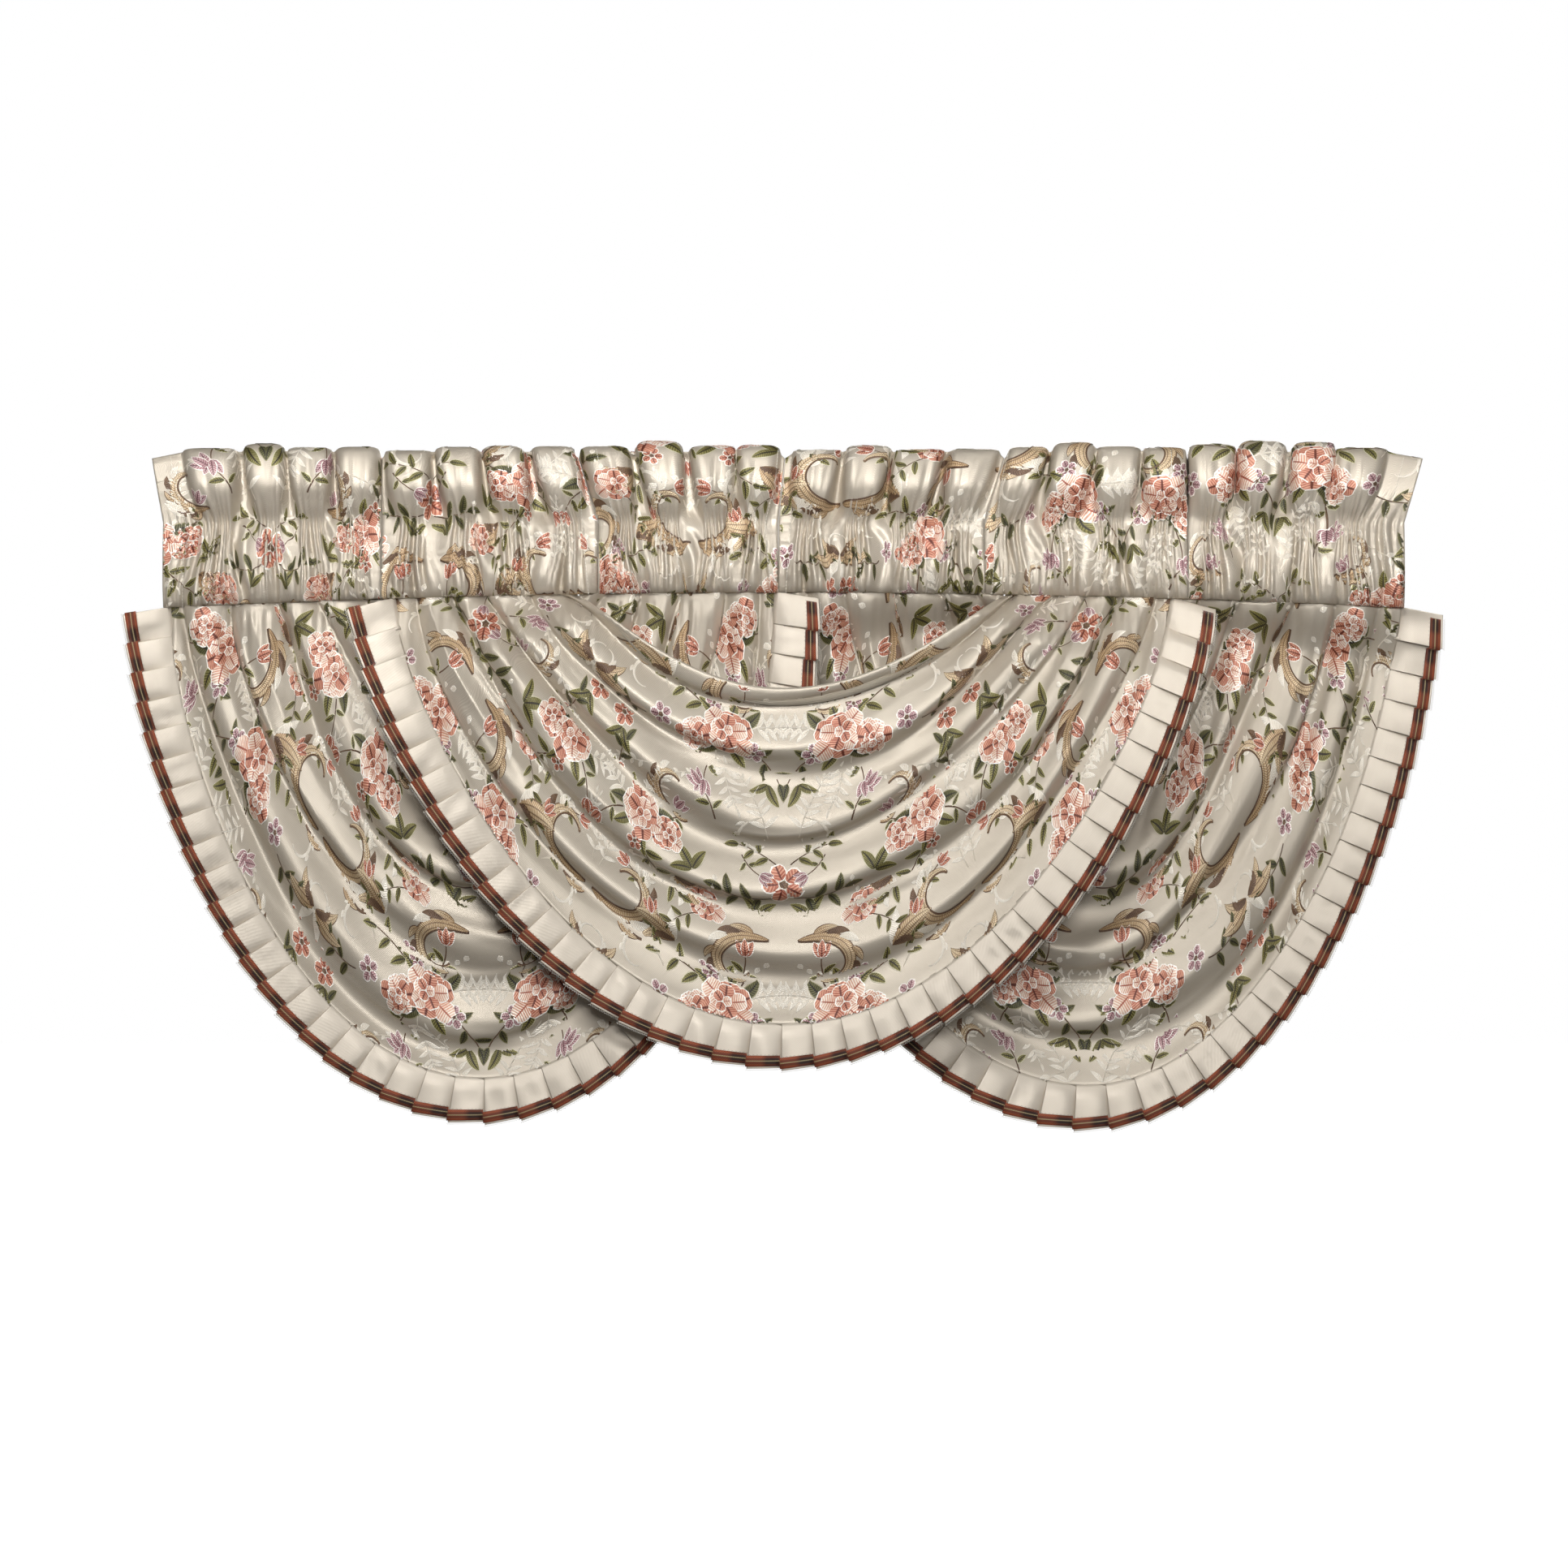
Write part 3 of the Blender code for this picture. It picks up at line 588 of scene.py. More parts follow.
headMeshes = {}
dice = np.random.default_rng(headCloth["seed"])
for head in heads:
    points = headGrid(head, dice)  # rows run down the front last
    closed = np.concatenate([points, points[:1]])
    places = clothPlaces(closed, closed.shape[1] // 2, 0)
    places[:, :, 1] -= places[-1, closed.shape[1] // 2, 1]
    piece = gridSheet("headCloth_" + head[0], points, places, (brocadeFront, brocadeBack),
                      headCloth["thickness"], ring=True)
    headMeshes[head[0]] = {"piece": piece, "points": closed, "places": places, "bands": None}
print("heads gathered:", [round(clothArea(found["points"]), 3) for found in headMeshes.values()])


# woven flowers
# Each motif is a few raised strips of thread on the flat cloth, p to the right and q down, in mm. The layout
# below is one repeat of a plain floral brocade; it is mirrored from repeat to repeat and about each swag's middle.
def curl(length, start, end, count, power=1.0):
    heading = start + (end - start) * np.linspace(0.0, 1.0, count) ** power
    middle = (heading[1:] + heading[:-1]) / 2
    steps = np.stack([np.cos(middle), np.sin(middle)], axis=1) * length / (count - 1)
    return np.concatenate([[[0.0, 0.0]], np.cumsum(steps, axis=0)]), heading


def strip(spine, width, thread, lift=0.0, rimmed=True, cell=4.6):
    # points, faces, uv, rim, tip, height over the cloth and thread number of one strip
    spine, width = np.asarray(spine, float), np.asarray(width, float)
    along = np.gradient(spine, axis=0)
    along = along / np.maximum(np.linalg.norm(along, axis=1, keepdims=True), 1e-9)
    side = np.stack([-along[:, 1], along[:, 0]], axis=1)
    n = max(2, int(math.ceil(width.max() / cell))) + 1
    share = np.linspace(-1.0, 1.0, n)
    points = spine[:, None] + side[:, None] * (width[:, None, None] / 2) * share[None, :, None]
    uv = np.stack([np.repeat(runsAlong(spine, 0)[:, None] * mm, n, axis=1),
                   np.repeat((share[None] + 1) / 2, len(spine), axis=0)], axis=-1)
    rim = np.zeros(points.shape[:2])
    if rimmed:
        rim[[0, -1]] = 1.0
        rim[:, [0, -1]] = 1.0
    tip = np.repeat(np.linspace(0.0, 1.0, len(spine))[:, None], n, axis=1)
    high = np.full(points.shape[:2], lift) + 0.35 * (1.0 - share[None] ** 2)
    r, c = np.meshgrid(np.arange(len(spine) - 1), np.arange(n - 1), indexing="ij")
    faces = np.stack([r * n + c, r * n + c + 1, (r + 1) * n + c + 1, (r + 1) * n + c], axis=-1).reshape(-1, 4)
    kind = np.full(len(faces), threadNames.index(thread))
    return points.reshape(-1, 2), faces, uv.reshape(-1, 2), rim.ravel(), tip.ravel(), high.ravel(), kind


def moved(patch, p=0.0, q=0.0, turn=0.0, size=1.0, mirrored=False, lift=0.0):
    points, faces = patch[0] * size, patch[1]
    c, s = math.cos(turn), math.sin(turn)
    points = points @ np.array([[c, s], [-s, c]])
    if mirrored:
        points, faces = points * (-1.0, 1.0), faces[:, ::-1]
    return (points + (p, q), faces, *patch[2:5], patch[5] + lift, patch[6])


def joined(patches):
    starts = np.cumsum([0] + [len(patch[0]) for patch in patches])
    columns = [np.concatenate([patch[k] for patch in patches]) for k in (0, *range(2, 7))]
    faces = np.concatenate([patch[1] + start for patch, start in zip(patches, starts)])
    return (columns[0], faces, *columns[1:])


def leaf(length, width, curve=0.5, thread="leaf", lift=0.0):
    spine = curl(length, 0.0, curve, max(5, round(length / 4.6)))[0]
    share = np.linspace(0.0, 1.0, len(spine))
    return strip(spine, width * np.sin(np.pi * share ** 0.8) ** 0.8 + 0.3, thread, lift)


def petal(inner, outer, width, turn, thread, lift=0.0):
    share = np.linspace(0.0, 1.0, max(4, round((outer - inner) / 4.6) + 1))
    spine = np.stack([mix(inner, outer, share), np.zeros_like(share)], axis=1)
    rounded = np.sqrt(np.clip(1.0 - (1.9 * share - 1.05) ** 2, 0.02, 1.0))
    return moved(strip(spine, width * rounded, thread, lift), turn=turn)


def stemLine(length, curve, width=2.4, thread="brown"):
    spine, heading = curl(length, 0.0, curve, max(5, round(length / 6)))
    return strip(spine, np.linspace(width, width * 0.6, len(spine)), thread, rimmed=False), spine, heading


def leafed(stem, shares, leavesAt):
    # the stem with its leaves: leavesAt(number, share) gives each leaf there and its turn from the stem
    body, spine, heading = stem
    parts = [body]
    for number, share in enumerate(shares):
        k = round(share * (len(spine) - 1))
        parts += [moved(patch, *spine[k], heading[k] + turn) for patch, turn in leavesAt(number, share)]
    return joined(parts)


def spray(length, curve, leaves, leafLength, thread="leaf"):
    def leavesAt(number, share):
        size = leafLength * (1.0 - 0.05 * (number % 3))
        turn = (0.85, -0.75)[number % 2] if number < leaves - 1 else 0.05
        return [(leaf(size, size * 0.42, (0.5, -0.5)[number % 2], thread, 0.12), turn)]
    return leafed(stemLine(length, curve), [0.22 + 0.72 * k / max(1, leaves - 1) for k in range(leaves)], leavesAt)


def sprig(length, curve=0.4):
    return leafed(stemLine(length, curve, 2.0, "ivory"), np.linspace(0.25, 1.0, 8), lambda number, share: [
        (leaf(17 - number * 0.8, 7.5, 0.3, "ivory"), (0.8, -0.8)[number % 2] if number < 7 else 0.0)])


def fern(length, curve):
    def leavesAt(number, share):
        size = 27.0 * (1.1 - 0.6 * share)
        turns = (0.8, -0.8) if number < 6 else (0.0,)
        return [(leaf(size, size * 0.26, 0.5 if turn > 0 else -0.5, "ivory"), turn) for turn in turns]
    return leafed(stemLine(length, curve, 2.0, "ivory"), np.linspace(0.15, 1.0, 7), leavesAt)


def garland(length, curve):
    stem = stemLine(length, curve, 2.2, "ivory")
    last = len(stem[1]) - 1
    return leafed(stem, [k / last for k in range(2, last, 2)], lambda number, share: [
        (leaf(12, 5.5, 0.2, "ivory"), (-0.7, 0.7)[number % 2])])


def bud(thread="coral"):
    stem, spine, heading = stemLine(46, 0.6)
    parts = [stem]
    for k, length, width, curve, turn in ((3, 24, 10, 0.5, 0.9), (2, 22, 9, -0.5, -0.9)):
        parts.append(moved(leaf(length, width, curve), *spine[k], heading[k] + turn))
    for turn in (-0.5, 0.5, 0.0):
        parts.append(moved(leaf(26, 13, 0.0, thread, 0.2 if turn else 0.5), *spine[-1], heading[-1] + turn))
    return joined(parts)


def rose(radius, outer, inner):
    parts = []
    rings = ((6, 0.34, 1.0, 0.84), (5, 0.12, 0.72, 0.66), (3, 0.0, 0.4, 0.42))  # petals, from, to, width
    for ring, (count, near, far, wide) in enumerate(rings):
        for k in range(count):
            size = (1.0, 0.84, 1.1, 0.92, 0.8, 1.06)[k]
            thread = (outer, inner)[(k + ring) % 2 if ring else k % 3 == 2]
            turn = k * math.tau / count + 0.45 * ring
            parts.append(moved(petal(radius * near, radius * far * size, radius * wide, turn, thread, 0.28 * ring),
                               radius * 0.07 * ring, -radius * 0.06 * ring))
    return joined(parts)


def blossom(radius, thread):
    parts = [petal(radius * 0.15, radius, radius * 0.8, k * math.tau / 5 + 0.3, thread) for k in range(5)]
    return joined(parts + [petal(-radius * 0.2, radius * 0.22, radius * 0.36, 0.0, "brown", 0.3)])


def scroll(length, width, curve):
    spine, heading = curl(length, 0.0, curve, round(length / 5), 1.7)
    swell = np.sin(np.pi * np.linspace(0.0, 1.0, len(spine)) ** 0.75)
    body = strip(spine, width * (0.2 + 0.8 * swell), "tan", cell=3.6)
    side = math.copysign(1.0, curve)
    offset = np.stack([-np.sin(heading), np.cos(heading)], axis=1) * (side * width * 0.42)
    shadow = strip(spine * 0.985 + offset * swell[:, None], np.full(len(spine), 2.6), "brown", 0.35, False)
    parts = [body, shadow]
    for number, at in enumerate(np.linspace(0.14, 0.72, 6)):
        k = round(at * (len(spine) - 1))
        thread = ("tan", "brown", "ivory")[number % 3]
        lobe = leaf(width * (2.1 - 0.16 * number), width * 0.6, side * 0.9, thread, 0.1)
        parts.append(moved(lobe, *(spine[k] - offset[k] * 0.7), heading[k] - side * 0.55))
    return joined(parts)


def ghostScroll(length, curve):
    spine, heading = curl(length, 0.0, curve, round(length / 5), 1.6)
    width = 1.6 + 4.5 * np.sin(np.pi * np.linspace(0.0, 1.0, len(spine)))
    stem = strip(spine, width, "ivory", rimmed=False), spine, heading
    return leafed(stem, (0.2, 0.38, 0.55, 0.7), lambda number, share: [
        (leaf(24 - 3 * number, 7.5, math.copysign(0.8, curve), "ivory"), -math.copysign(0.7, curve))])


def fan(*leaves):  # leaves from one point: length, width, curve, thread, lift, turn
    return joined([moved(leaf(*each[:5]), turn=each[5]) for each in leaves])


def plume(length, width):
    return fan((length, width, 0.9, "tan", 0.2, 0.0), (length * 0.8, width * 0.8, 1.5, "tan", 0.0, 0.35),
               (length * 0.7, width * 0.7, -0.4, "ivory", 0.0, -0.4),
               (length * 0.55, width * 0.6, 1.9, "brown", 0.3, 0.15))


def beads():
    return joined([moved(leaf(11.0, 8.0 - number, 0.0, "ivory"), number * 15.0, 4.0 * math.sin(number * 1.1), 0.6)
                   for number in range(5)])


def bouquet(main, other, small):
    parts = [moved(leaf(44 - 3 * (k % 3), 18, (0.5, -0.4)[k % 2], ("leaf", "darkLeaf")[k % 3 == 1]),
                   20 * math.cos(k * 0.9), 20 * math.sin(k * 0.9), k * 0.9, lift=0.02 * k) for k in range(7)]
    for patch, p, q, turn, lift in (
            (spray(86, 0.7, 5, 32), 24, -22, -0.7, 0.0), (spray(70, -0.7, 4, 28, "darkLeaf"), -26, 20, 2.5, 0.0),
            (bud(), -22, -26, -2.2, 0.0), (bud("mauve"), 34, 34, 0.9, 0.0), (fern(84, -0.6), -30, -8, -2.9, 0.0),
            (fern(76, 0.6), 18, 34, 1.5, 0.0), (rose(30, other, main), 46, 14, 1.2, 0.25),
            (blossom(17, small), -34, 26, 0.4, 0.3), (blossom(14, small), 22, -40, 0.9, 0.3),
            (rose(39, main, other), 0, 0, 0.3, 0.55)):
        parts.append(moved(patch, p, q, turn, lift=lift))
    return joined(parts)


motifKinds = {
    "bouquet": bouquet("coral", "pink", "mauve"), "paleBouquet": bouquet("pink", "coral", "coral"),
    "rose": rose(40, "coral", "pink"), "blossom": blossom(17, "mauve"), "coralBlossom": blossom(20, "coral"),
    "bud": bud(), "mauveBud": bud("mauve"), "spray": spray(92, 0.7, 5, 36),
    "darkSpray": spray(84, -0.8, 5, 34, "darkLeaf"), "sprig": sprig(86), "fern": fern(120, 0.7),
    "leafPair": fan((46, 19, 0.6, "leaf", 0.0, 0.0), (40, 17, -0.6, "leaf", 0.0, -1.0)),
    "leafTrio": fan((52, 22, 0.4, "leaf", 0.0, 0.0), (46, 19, -0.5, "leaf", 0.0, -0.9),
                    (44, 18, 0.6, "leaf", 0.0, 0.9)),
    "scroll": scroll(185, 21, 4.4), "smallScroll": scroll(120, 15, -4.0), "plume": plume(78, 26),
    "beads": beads(), "garland": garland(150, 1.5), "ghost": ghostScroll(150, 4.6),
    "ghostLeft": ghostScroll(130, -4.4),
}

flowerRepeat = {"width": 290.0, "height": 400.0, "lift": 0.42, "headAcross": 130.0, "headDown": -60.0}
flowerLayout = [  # kind, p, q, turn in degrees (0 to the right, 90 down), size
    ("bouquet", 78, 84, 8, 1.0), ("scroll", 284, 34, 165, 0.95), ("plume", 150, 26, -40, 0.9),
    ("beads", 20, 16, 25, 1.0),
    ("ghost", 176, 66, -50, 0.85), ("darkSpray", 196, 118, 24, 0.8), ("blossom", 176, 104, 0, 1.0),
    ("bud", 184, 44, -100, 0.9), ("plume", 288, 108, 150, 0.8), ("ghostLeft", 262, 92, 60, 0.7),
    ("garland", 128, 166, 12, 0.8),
    ("leafPair", 22, 148, 100, 0.8), ("fern", 20, 226, -80, 0.9), ("mauveBud", 92, 214, -70, 1.0),
    ("smallScroll", 128, 236, 8, 1.0), ("ghost", 30, 196, 20, 0.7), ("coralBlossom", 264, 160, 0, 1.0),
    ("leafPair", 256, 178, 120, 0.8), ("sprig", 196, 190, 20, 0.8), ("paleBouquet", 220, 274, 155, 0.92),
    ("coralBlossom", 0, 296, 15, 1.5), ("darkSpray", 14, 318, 20, 0.9), ("spray", 10, 268, -40, 0.7),
    ("leafTrio", 128, 306, -50, 0.8), ("scroll", 20, 384, -10, 0.85), ("rose", 112, 352, 30, 0.7),
    ("spray", 126, 370, 24, 0.6), ("beads", 262, 350, 170, 1.0), ("plume", 150, 330, 120, 0.8),
    ("ghostLeft", 190, 392, -20, 0.85), ("bud", 206, 384, -50, 0.9), ("fern", 284, 396, -105, 0.8),
    ("leafPair", 34, 350, -70, 0.8), ("beads", 96, 300, 70, 0.8), ("mauveBud", 60, 260, 120, 0.8),
]


def bilinear(grid, row, column):
    r = np.clip(np.floor(row).astype(int), 0, grid.shape[0] - 2)
    c = np.clip(np.floor(column).astype(int), 0, grid.shape[1] - 2)
    fr, fc = row - r, column - c
    if grid.ndim == 3:
        fr, fc = fr[:, None], fc[:, None]
    return mix(mix(grid[r, c], grid[r, c + 1], fc), mix(grid[r + 1, c], grid[r + 1, c + 1], fc), fr)


def clothMapper(points, places, bands):
    # finds the place on the hung cloth, and the way it faces, of points on the flat cloth. Between two rolls
    # some cloth is hidden in the fold, more of it near the heads, so each roll has its own rows.
    normals = gridNormals(points)
    middle, columns = points.shape[1] // 2, np.arange(points.shape[1], dtype=float)
    down = places[:, middle, 1]
    offsets = np.arange(-90.0, 91.0, 3.0)
    bands = bands or [(0, len(down) // 2, len(down) - 1)]
    edges = [down[last] for first, crest, last in bands[:-1]]
    if len(bands) == 1:
        offsets = np.arange(down[0] - down[-1], down[-1] - down[0], 4.0)

    def find(flat):
        p, q = flat[:, 0], flat[:, 1]
        band = np.searchsorted(edges, q)
        row, column, inside = np.zeros_like(p), np.zeros_like(p), (q > down[0]) & (q < down[-1])
        for number, (first, crest, last) in enumerate(bands):
            chosen = np.nonzero(band == number)[0]
            column[chosen] = np.interp(p[chosen], places[crest, :, 0], columns, left=-1, right=-1)
            local = places[first : last + 1, :, 1] - places[crest, :, 1]
            rows = np.arange(first, last + 1, dtype=float)
            rowsAt = np.array([np.interp(offsets, line, rows, left=-9e5, right=-9e5) for line in local.T]).T
            at = np.clip((q[chosen] - down[crest] - offsets[0]) / (offsets[1] - offsets[0]), 0, len(offsets) - 1.001)
            row[chosen] = bilinear(rowsAt, at, np.maximum(column[chosen], 0))
        inside &= (column >= 0) & (row >= 0)
        row, column = np.maximum(row, 0), np.maximum(column, 0)
        return bilinear(points, row, column), bilinear(normals, row, column), inside

    return find


def weaveFlowers(name, points, places, bands, shift, lowest):
    across, down = places[:, :, 0], places[:, points.shape[1] // 2, 1]
    width, height = flowerRepeat["width"], flowerRepeat["height"]
    patches = []
    for column in range(math.floor(across.min() / width), math.ceil(across.max() / width)):
        odd = bool(column % 2)  # every other repeat is mirrored
        for row in range(math.floor((down[0] - shift) / height), math.ceil((down[-1] - shift) / height)):
            for kind, p, q, turn, size in flowerLayout:
                if odd and p in (0, width):
                    continue  # a motif on the fold line is woven once
                p = column * width + (width - p if odd else p)
                patches.append(moved(motifKinds[kind], p, q + shift + row * height, math.radians(turn), size, odd))
    flat, faces, uv, rim, tip, high, kind = joined(patches)
    place, facing, inside = clothMapper(points, places, bands)(flat)
    inside &= flat[:, 1] > lowest
    kept = inside[faces].all(axis=1)
    for first, second in ((0, 2), (1, 3)):  # leaves out a face that would span two rolls
        apart = np.linalg.norm(place[faces[:, first]] - place[faces[:, second]], axis=1)
        kept &= apart < 2.0 * np.linalg.norm(flat[faces[:, first]] - flat[faces[:, second]], axis=1) + 1.5
    faces, kind = faces[kept], kind[kept]
    used, index = np.unique(faces, return_inverse=True)
    faces = index.reshape(-1, 4)
    place = (place + facing * (flowerRepeat["lift"] + high)[:, None])[used]
    obj = clothPiece(name, place, faces, uv[used][faces.ravel()], threads.values())
    for key, values in (("rim", rim), ("tip", tip)):
        obj.data.attributes.new(key, "FLOAT", "POINT").data.foreach_set("value", values[used].astype(np.float32))
    obj.data.polygons.foreach_set("material_index", kind.astype(np.int32))
    return obj


for swag in swags:
    found = swagMeshes[swag["name"]]
    found["flowers"] = weaveFlowers("swagFlowers_" + swag["name"], found["points"], found["places"],
                                    found["bands"], swag["patternShift"], 2.0)
for number, (name, found) in enumerate(headMeshes.items()):  # each head is cut from another place of the cloth
    places = found["places"] + np.array([flowerRepeat["headAcross"] * number, 0.0])
    found["flowers"] = weaveFlowers("headFlowers_" + name, found["points"], places, None,
                                    flowerRepeat["headDown"] * number, -900.0)
count = [len(found["flowers"].data.polygons) for found in (*swagMeshes.values(), *headMeshes.values())]
print("flowers woven, faces:", count)


# ruffles
ruffleCloth = {
    "thickness": 0.8, "width": 55.0, "pitch": 40.0, "overlap": 4.0, "flatCloth": 44.0, "returnCloth": 32.0,
    "riseInner": 5.0, "riseOuter": 10.0, "riseAtSeam": 0.3, "fullRiseAt": 0.18, "tuck": 2.2, "tuckFrom": 0.1,
    "stepOut": 4.0, "gap": 1.8, "leanFade": 90.0, "leanAtSeam": 0.35, "endDroop": 8.0,
    "plateau": 3.6, "curl": 1.5, "crown": 2.2, "dentDepth": (-2.5, 6.4), "dentWidth": 0.13, "returnColumns": 2,
    "returnLift": 0.7, "seed": 5,
    "flats": (0.0, 0.025, 0.1, 0.3, 0.5, 0.7, 0.88, 0.975, 1.0),
    "rows": (-0.1, 0.0, 0.05, 0.16, 0.3, 0.45, 0.6, 0.75, 0.88, 0.97, 1.0),
}


def seamLine(swag):
    t = np.linspace(-1.0, 1.0, 241)
    points = swagSurface(swag, t, np.ones_like(t))
    return points, runsAlong(points[:, [0, 2]], 0)


def rufflePoint(swag, seam, run, share, rise, out):
    # run is along the seam, share from 0 at the seam to 1 at the outer edge, both measured on the front
    cloth, (points, runs) = ruffleCloth, seam
    inside = min(max(run, 0.0), runs[-1])
    point = [np.interp(inside, runs, points[:, k]) for k in range(3)]
    ahead, behind = min(inside + 12.0, runs[-1]), max(inside - 12.0, 0.0)
    ax, az = (np.interp(ahead, runs, points[:, k]) - np.interp(behind, runs, points[:, k]) for k in (0, 2))
    size = math.hypot(ax, az)
    ax, az = ax / size, az / size
    ox, oz = az, -ax
    reach = cloth["gap"] + share * (cloth["width"] + out)
    atSeam = cloth["riseAtSeam"]
    if share > 0:
        rise = rise * (atSeam + (1.0 - atSeam) * min(1.0, share / cloth["fullRiseAt"]))
    else:
        rise = rise * atSeam - cloth["tuck"] * min(1.0, -share / cloth["tuckFrom"])
    leftEnd = math.exp(-max(run, 0.0) / cloth["leanFade"])
    rightEnd = math.exp(-max(runs[-1] - run, 0.0) / cloth["leanFade"])
    lean = (swag["leftLean"] * leftEnd + swag["rightLean"] * rightEnd) * mix(cloth["leanAtSeam"], 1.0, share)
    droop = cloth["endDroop"] * share * (leftEnd + rightEnd)
    return np.array([point[0] + ax * (run - inside) + ox * reach, point[1] - rise + lean,
                     point[2] + az * (run - inside) + oz * reach - droop])


def pleatRuns(seam):
    length = seam[1][-1]
    count = round(length / ruffleCloth["pitch"])
    pitch, half = length / count, ruffleCloth["overlap"] / 2
    return [(number * pitch - half, (number + 1) * pitch + half) for number in range(count)]


def pleatCorners(swag, seam, pleat, share):
    rise = mix(ruffleCloth["riseInner"], ruffleCloth["riseOuter"], max(share, 0.0))
    return (rufflePoint(swag, seam, pleat[0], share, rise, ruffleCloth["stepOut"]),
            rufflePoint(swag, seam, pleat[1], share, 0.0, 0.0))


def pleatPoint(swag, seam, pleat, share, along, dents=(0.0, 0.5, 0.0)):
    first, last = pleatCorners(swag, seam, pleat, share)
    point = mix(first, last, along)
    out, level = max(share, 0.0), min(max(along, 0.0), 1.0)
    point[1] += (first[1] - last[1]) * (level - level ** ruffleCloth["plateau"])  # high until the next pleat's fold
    crown = ruffleCloth["crown"] * math.sin(math.pi * level) ** 0.8 * (0.2 + 0.8 * out)
    size, place, skew = dents
    off = along - place - skew * (share - 0.5)
    dent = size * math.exp(-((off / ruffleCloth["dentWidth"]) ** 2)) * math.sin(math.pi * min(out * 1.15, 1.0))
    point[1] -= crown - dent
    return point


def pleatRow(swag, seam, pleats, dents, share):
    # one line across all the pleats, and how far along the cloth each of its points is
    flat, back, columns = (ruffleCloth[key] for key in ("flatCloth", "returnCloth", "returnColumns"))
    line, run = [], []
    for number, pleat in enumerate(pleats):
        for along in ruffleCloth["flats"]:
            line.append(pleatPoint(swag, seam, pleat, share, along, dents[number]))
            run.append(number * (flat + back) + along * flat)
        if number + 1 < len(pleats):  # the return, under this pleat and up to the next fold
            under = line[-1]
            front = pleatPoint(swag, seam, pleats[number + 1], share, 0.0)
            outward = front - pleatPoint(swag, seam, pleats[number + 1], share - 0.1, 0.0)
            outward = outward / np.linalg.norm(outward) * ruffleCloth["curl"] * max(share, 0.0) ** 6
            bow = outward + np.array([0.0, ruffleCloth["returnLift"], 0.0])
            for f in [step / (columns + 1) for step in range(1, columns + 1)]:
                line.append(mix(under, front, f) + bow * math.sin(math.pi * f))
                run.append(number * (flat + back) + flat + f * back)
    return line, run


ruffleMeshes = {}
dice = np.random.default_rng(ruffleCloth["seed"])
for swag in swags:
    seam = seamLine(swag)
    pleats = pleatRuns(seam)
    dents = [(dice.uniform(*ruffleCloth["dentDepth"]), dice.uniform(0.25, 0.75), dice.uniform(-0.5, 0.5))
             for pleat in pleats]
    rows = [pleatRow(swag, seam, pleats, dents, share) for share in ruffleCloth["rows"]]
    points, run = (np.array([row[k] for row in rows]) for k in (0, 1))
    across = np.repeat((np.array(ruffleCloth["rows"]) * ruffleCloth["width"])[:, None], points.shape[1], axis=1)
    piece = gridSheet("ruffleCloth_" + swag["name"], points, np.stack([run, across], axis=-1), (ruffleFront,),
                      ruffleCloth["thickness"])
    ruffleMeshes[swag["name"]] = {"piece": piece, "seam": seam, "pleats": pleats, "dents": dents}
print("ruffles pleated:", [len(found["pleats"]) for found in ruffleMeshes.values()])


# ribbon
ribbonCloth = {"thickness": 0.6, "width": 14.0, "fromEdge": 2.6, "lift": 0.7, "clearOfFold": 1.8, "step": 0.4,
               "columns": 6, "rows": 2, "pitch": 40.0, "run": 38.0}


def ribbonPoint(swag, found, number, across, along):
    # on the flat of pleat number, with the ways that are off the cloth and outwards from the seam there;
    # across is 0 at the ribbon's outer edge and 1 at its inner one
    outer = 1.0 - ribbonCloth["fromEdge"] / ruffleCloth["width"]
    inner = outer - ribbonCloth["width"] / ruffleCloth["width"]
    seam, pleat = found["seam"], found["pleats"][number]
    start, end = pleatCorners(swag, seam, pleat, inner)
    outward = pleatCorners(swag, seam, pleat, outer)[0] - start
    normal = np.cross(outward, end - start)
    point = pleatPoint(swag, seam, pleat, mix(outer, inner, across), along, found["dents"][number])
    return point, normal / np.linalg.norm(normal), outward / np.linalg.norm(outward)


for swag in swags:
    found = ruffleMeshes[swag["name"]]
    length = found["pleats"][0][1] - found["pleats"][0][0]
    reach = 1.0 - (ruffleCloth["overlap"] + ribbonCloth["step"]) / length
    before = ribbonCloth["clearOfFold"] / length
    steps = np.arange(ribbonCloth["columns"] + 1) / ribbonCloth["columns"]
    rows = []
    for across in np.linspace(1.0, 0.0, ribbonCloth["rows"] + 1):
        line = []
        for number in range(len(found["pleats"])):
            for step in steps:
                point, normal, outward = ribbonPoint(swag, found, number, across, step * reach - before)
                line.append(point + normal * (ribbonCloth["lift"] + ribbonCloth["thickness"]))
        rows.append(line)
    points = np.array(rows)
    run = np.concatenate([number * ribbonCloth["pitch"] + steps * ribbonCloth["run"]
                          for number in range(len(found["pleats"]))])
    uv = np.stack(np.meshgrid(run, np.linspace(0.0, 1.0 / mm, len(rows))), axis=-1)
    found["ribbon"] = gridSheet("ribbonPlaid_" + swag["name"], points, uv, (plaidRibbon,), ribbonCloth["thickness"])
print("ribbons laid")


# stitches
# Fine repeats are made by node trees from plain lines: a zigzag thread, and a running stitch of short dashes.
stitches = {
    "picot": {"Pitch": 1.7 * mm, "Reach": 1.9 * mm, "Radius": 0.42 * mm, "across": -0.24, "lift": 0.4},
    "ribbonEdge": {"Pitch": 2.6 * mm, "Reach": 2.4 * mm, "Radius": 0.22 * mm, "across": 1.1, "lift": 0.45},
    "hem": {"Pitch": 4.6 * mm, "Reach": 3.2 * mm, "Radius": 0.5 * mm, "lift": 0.5},
}


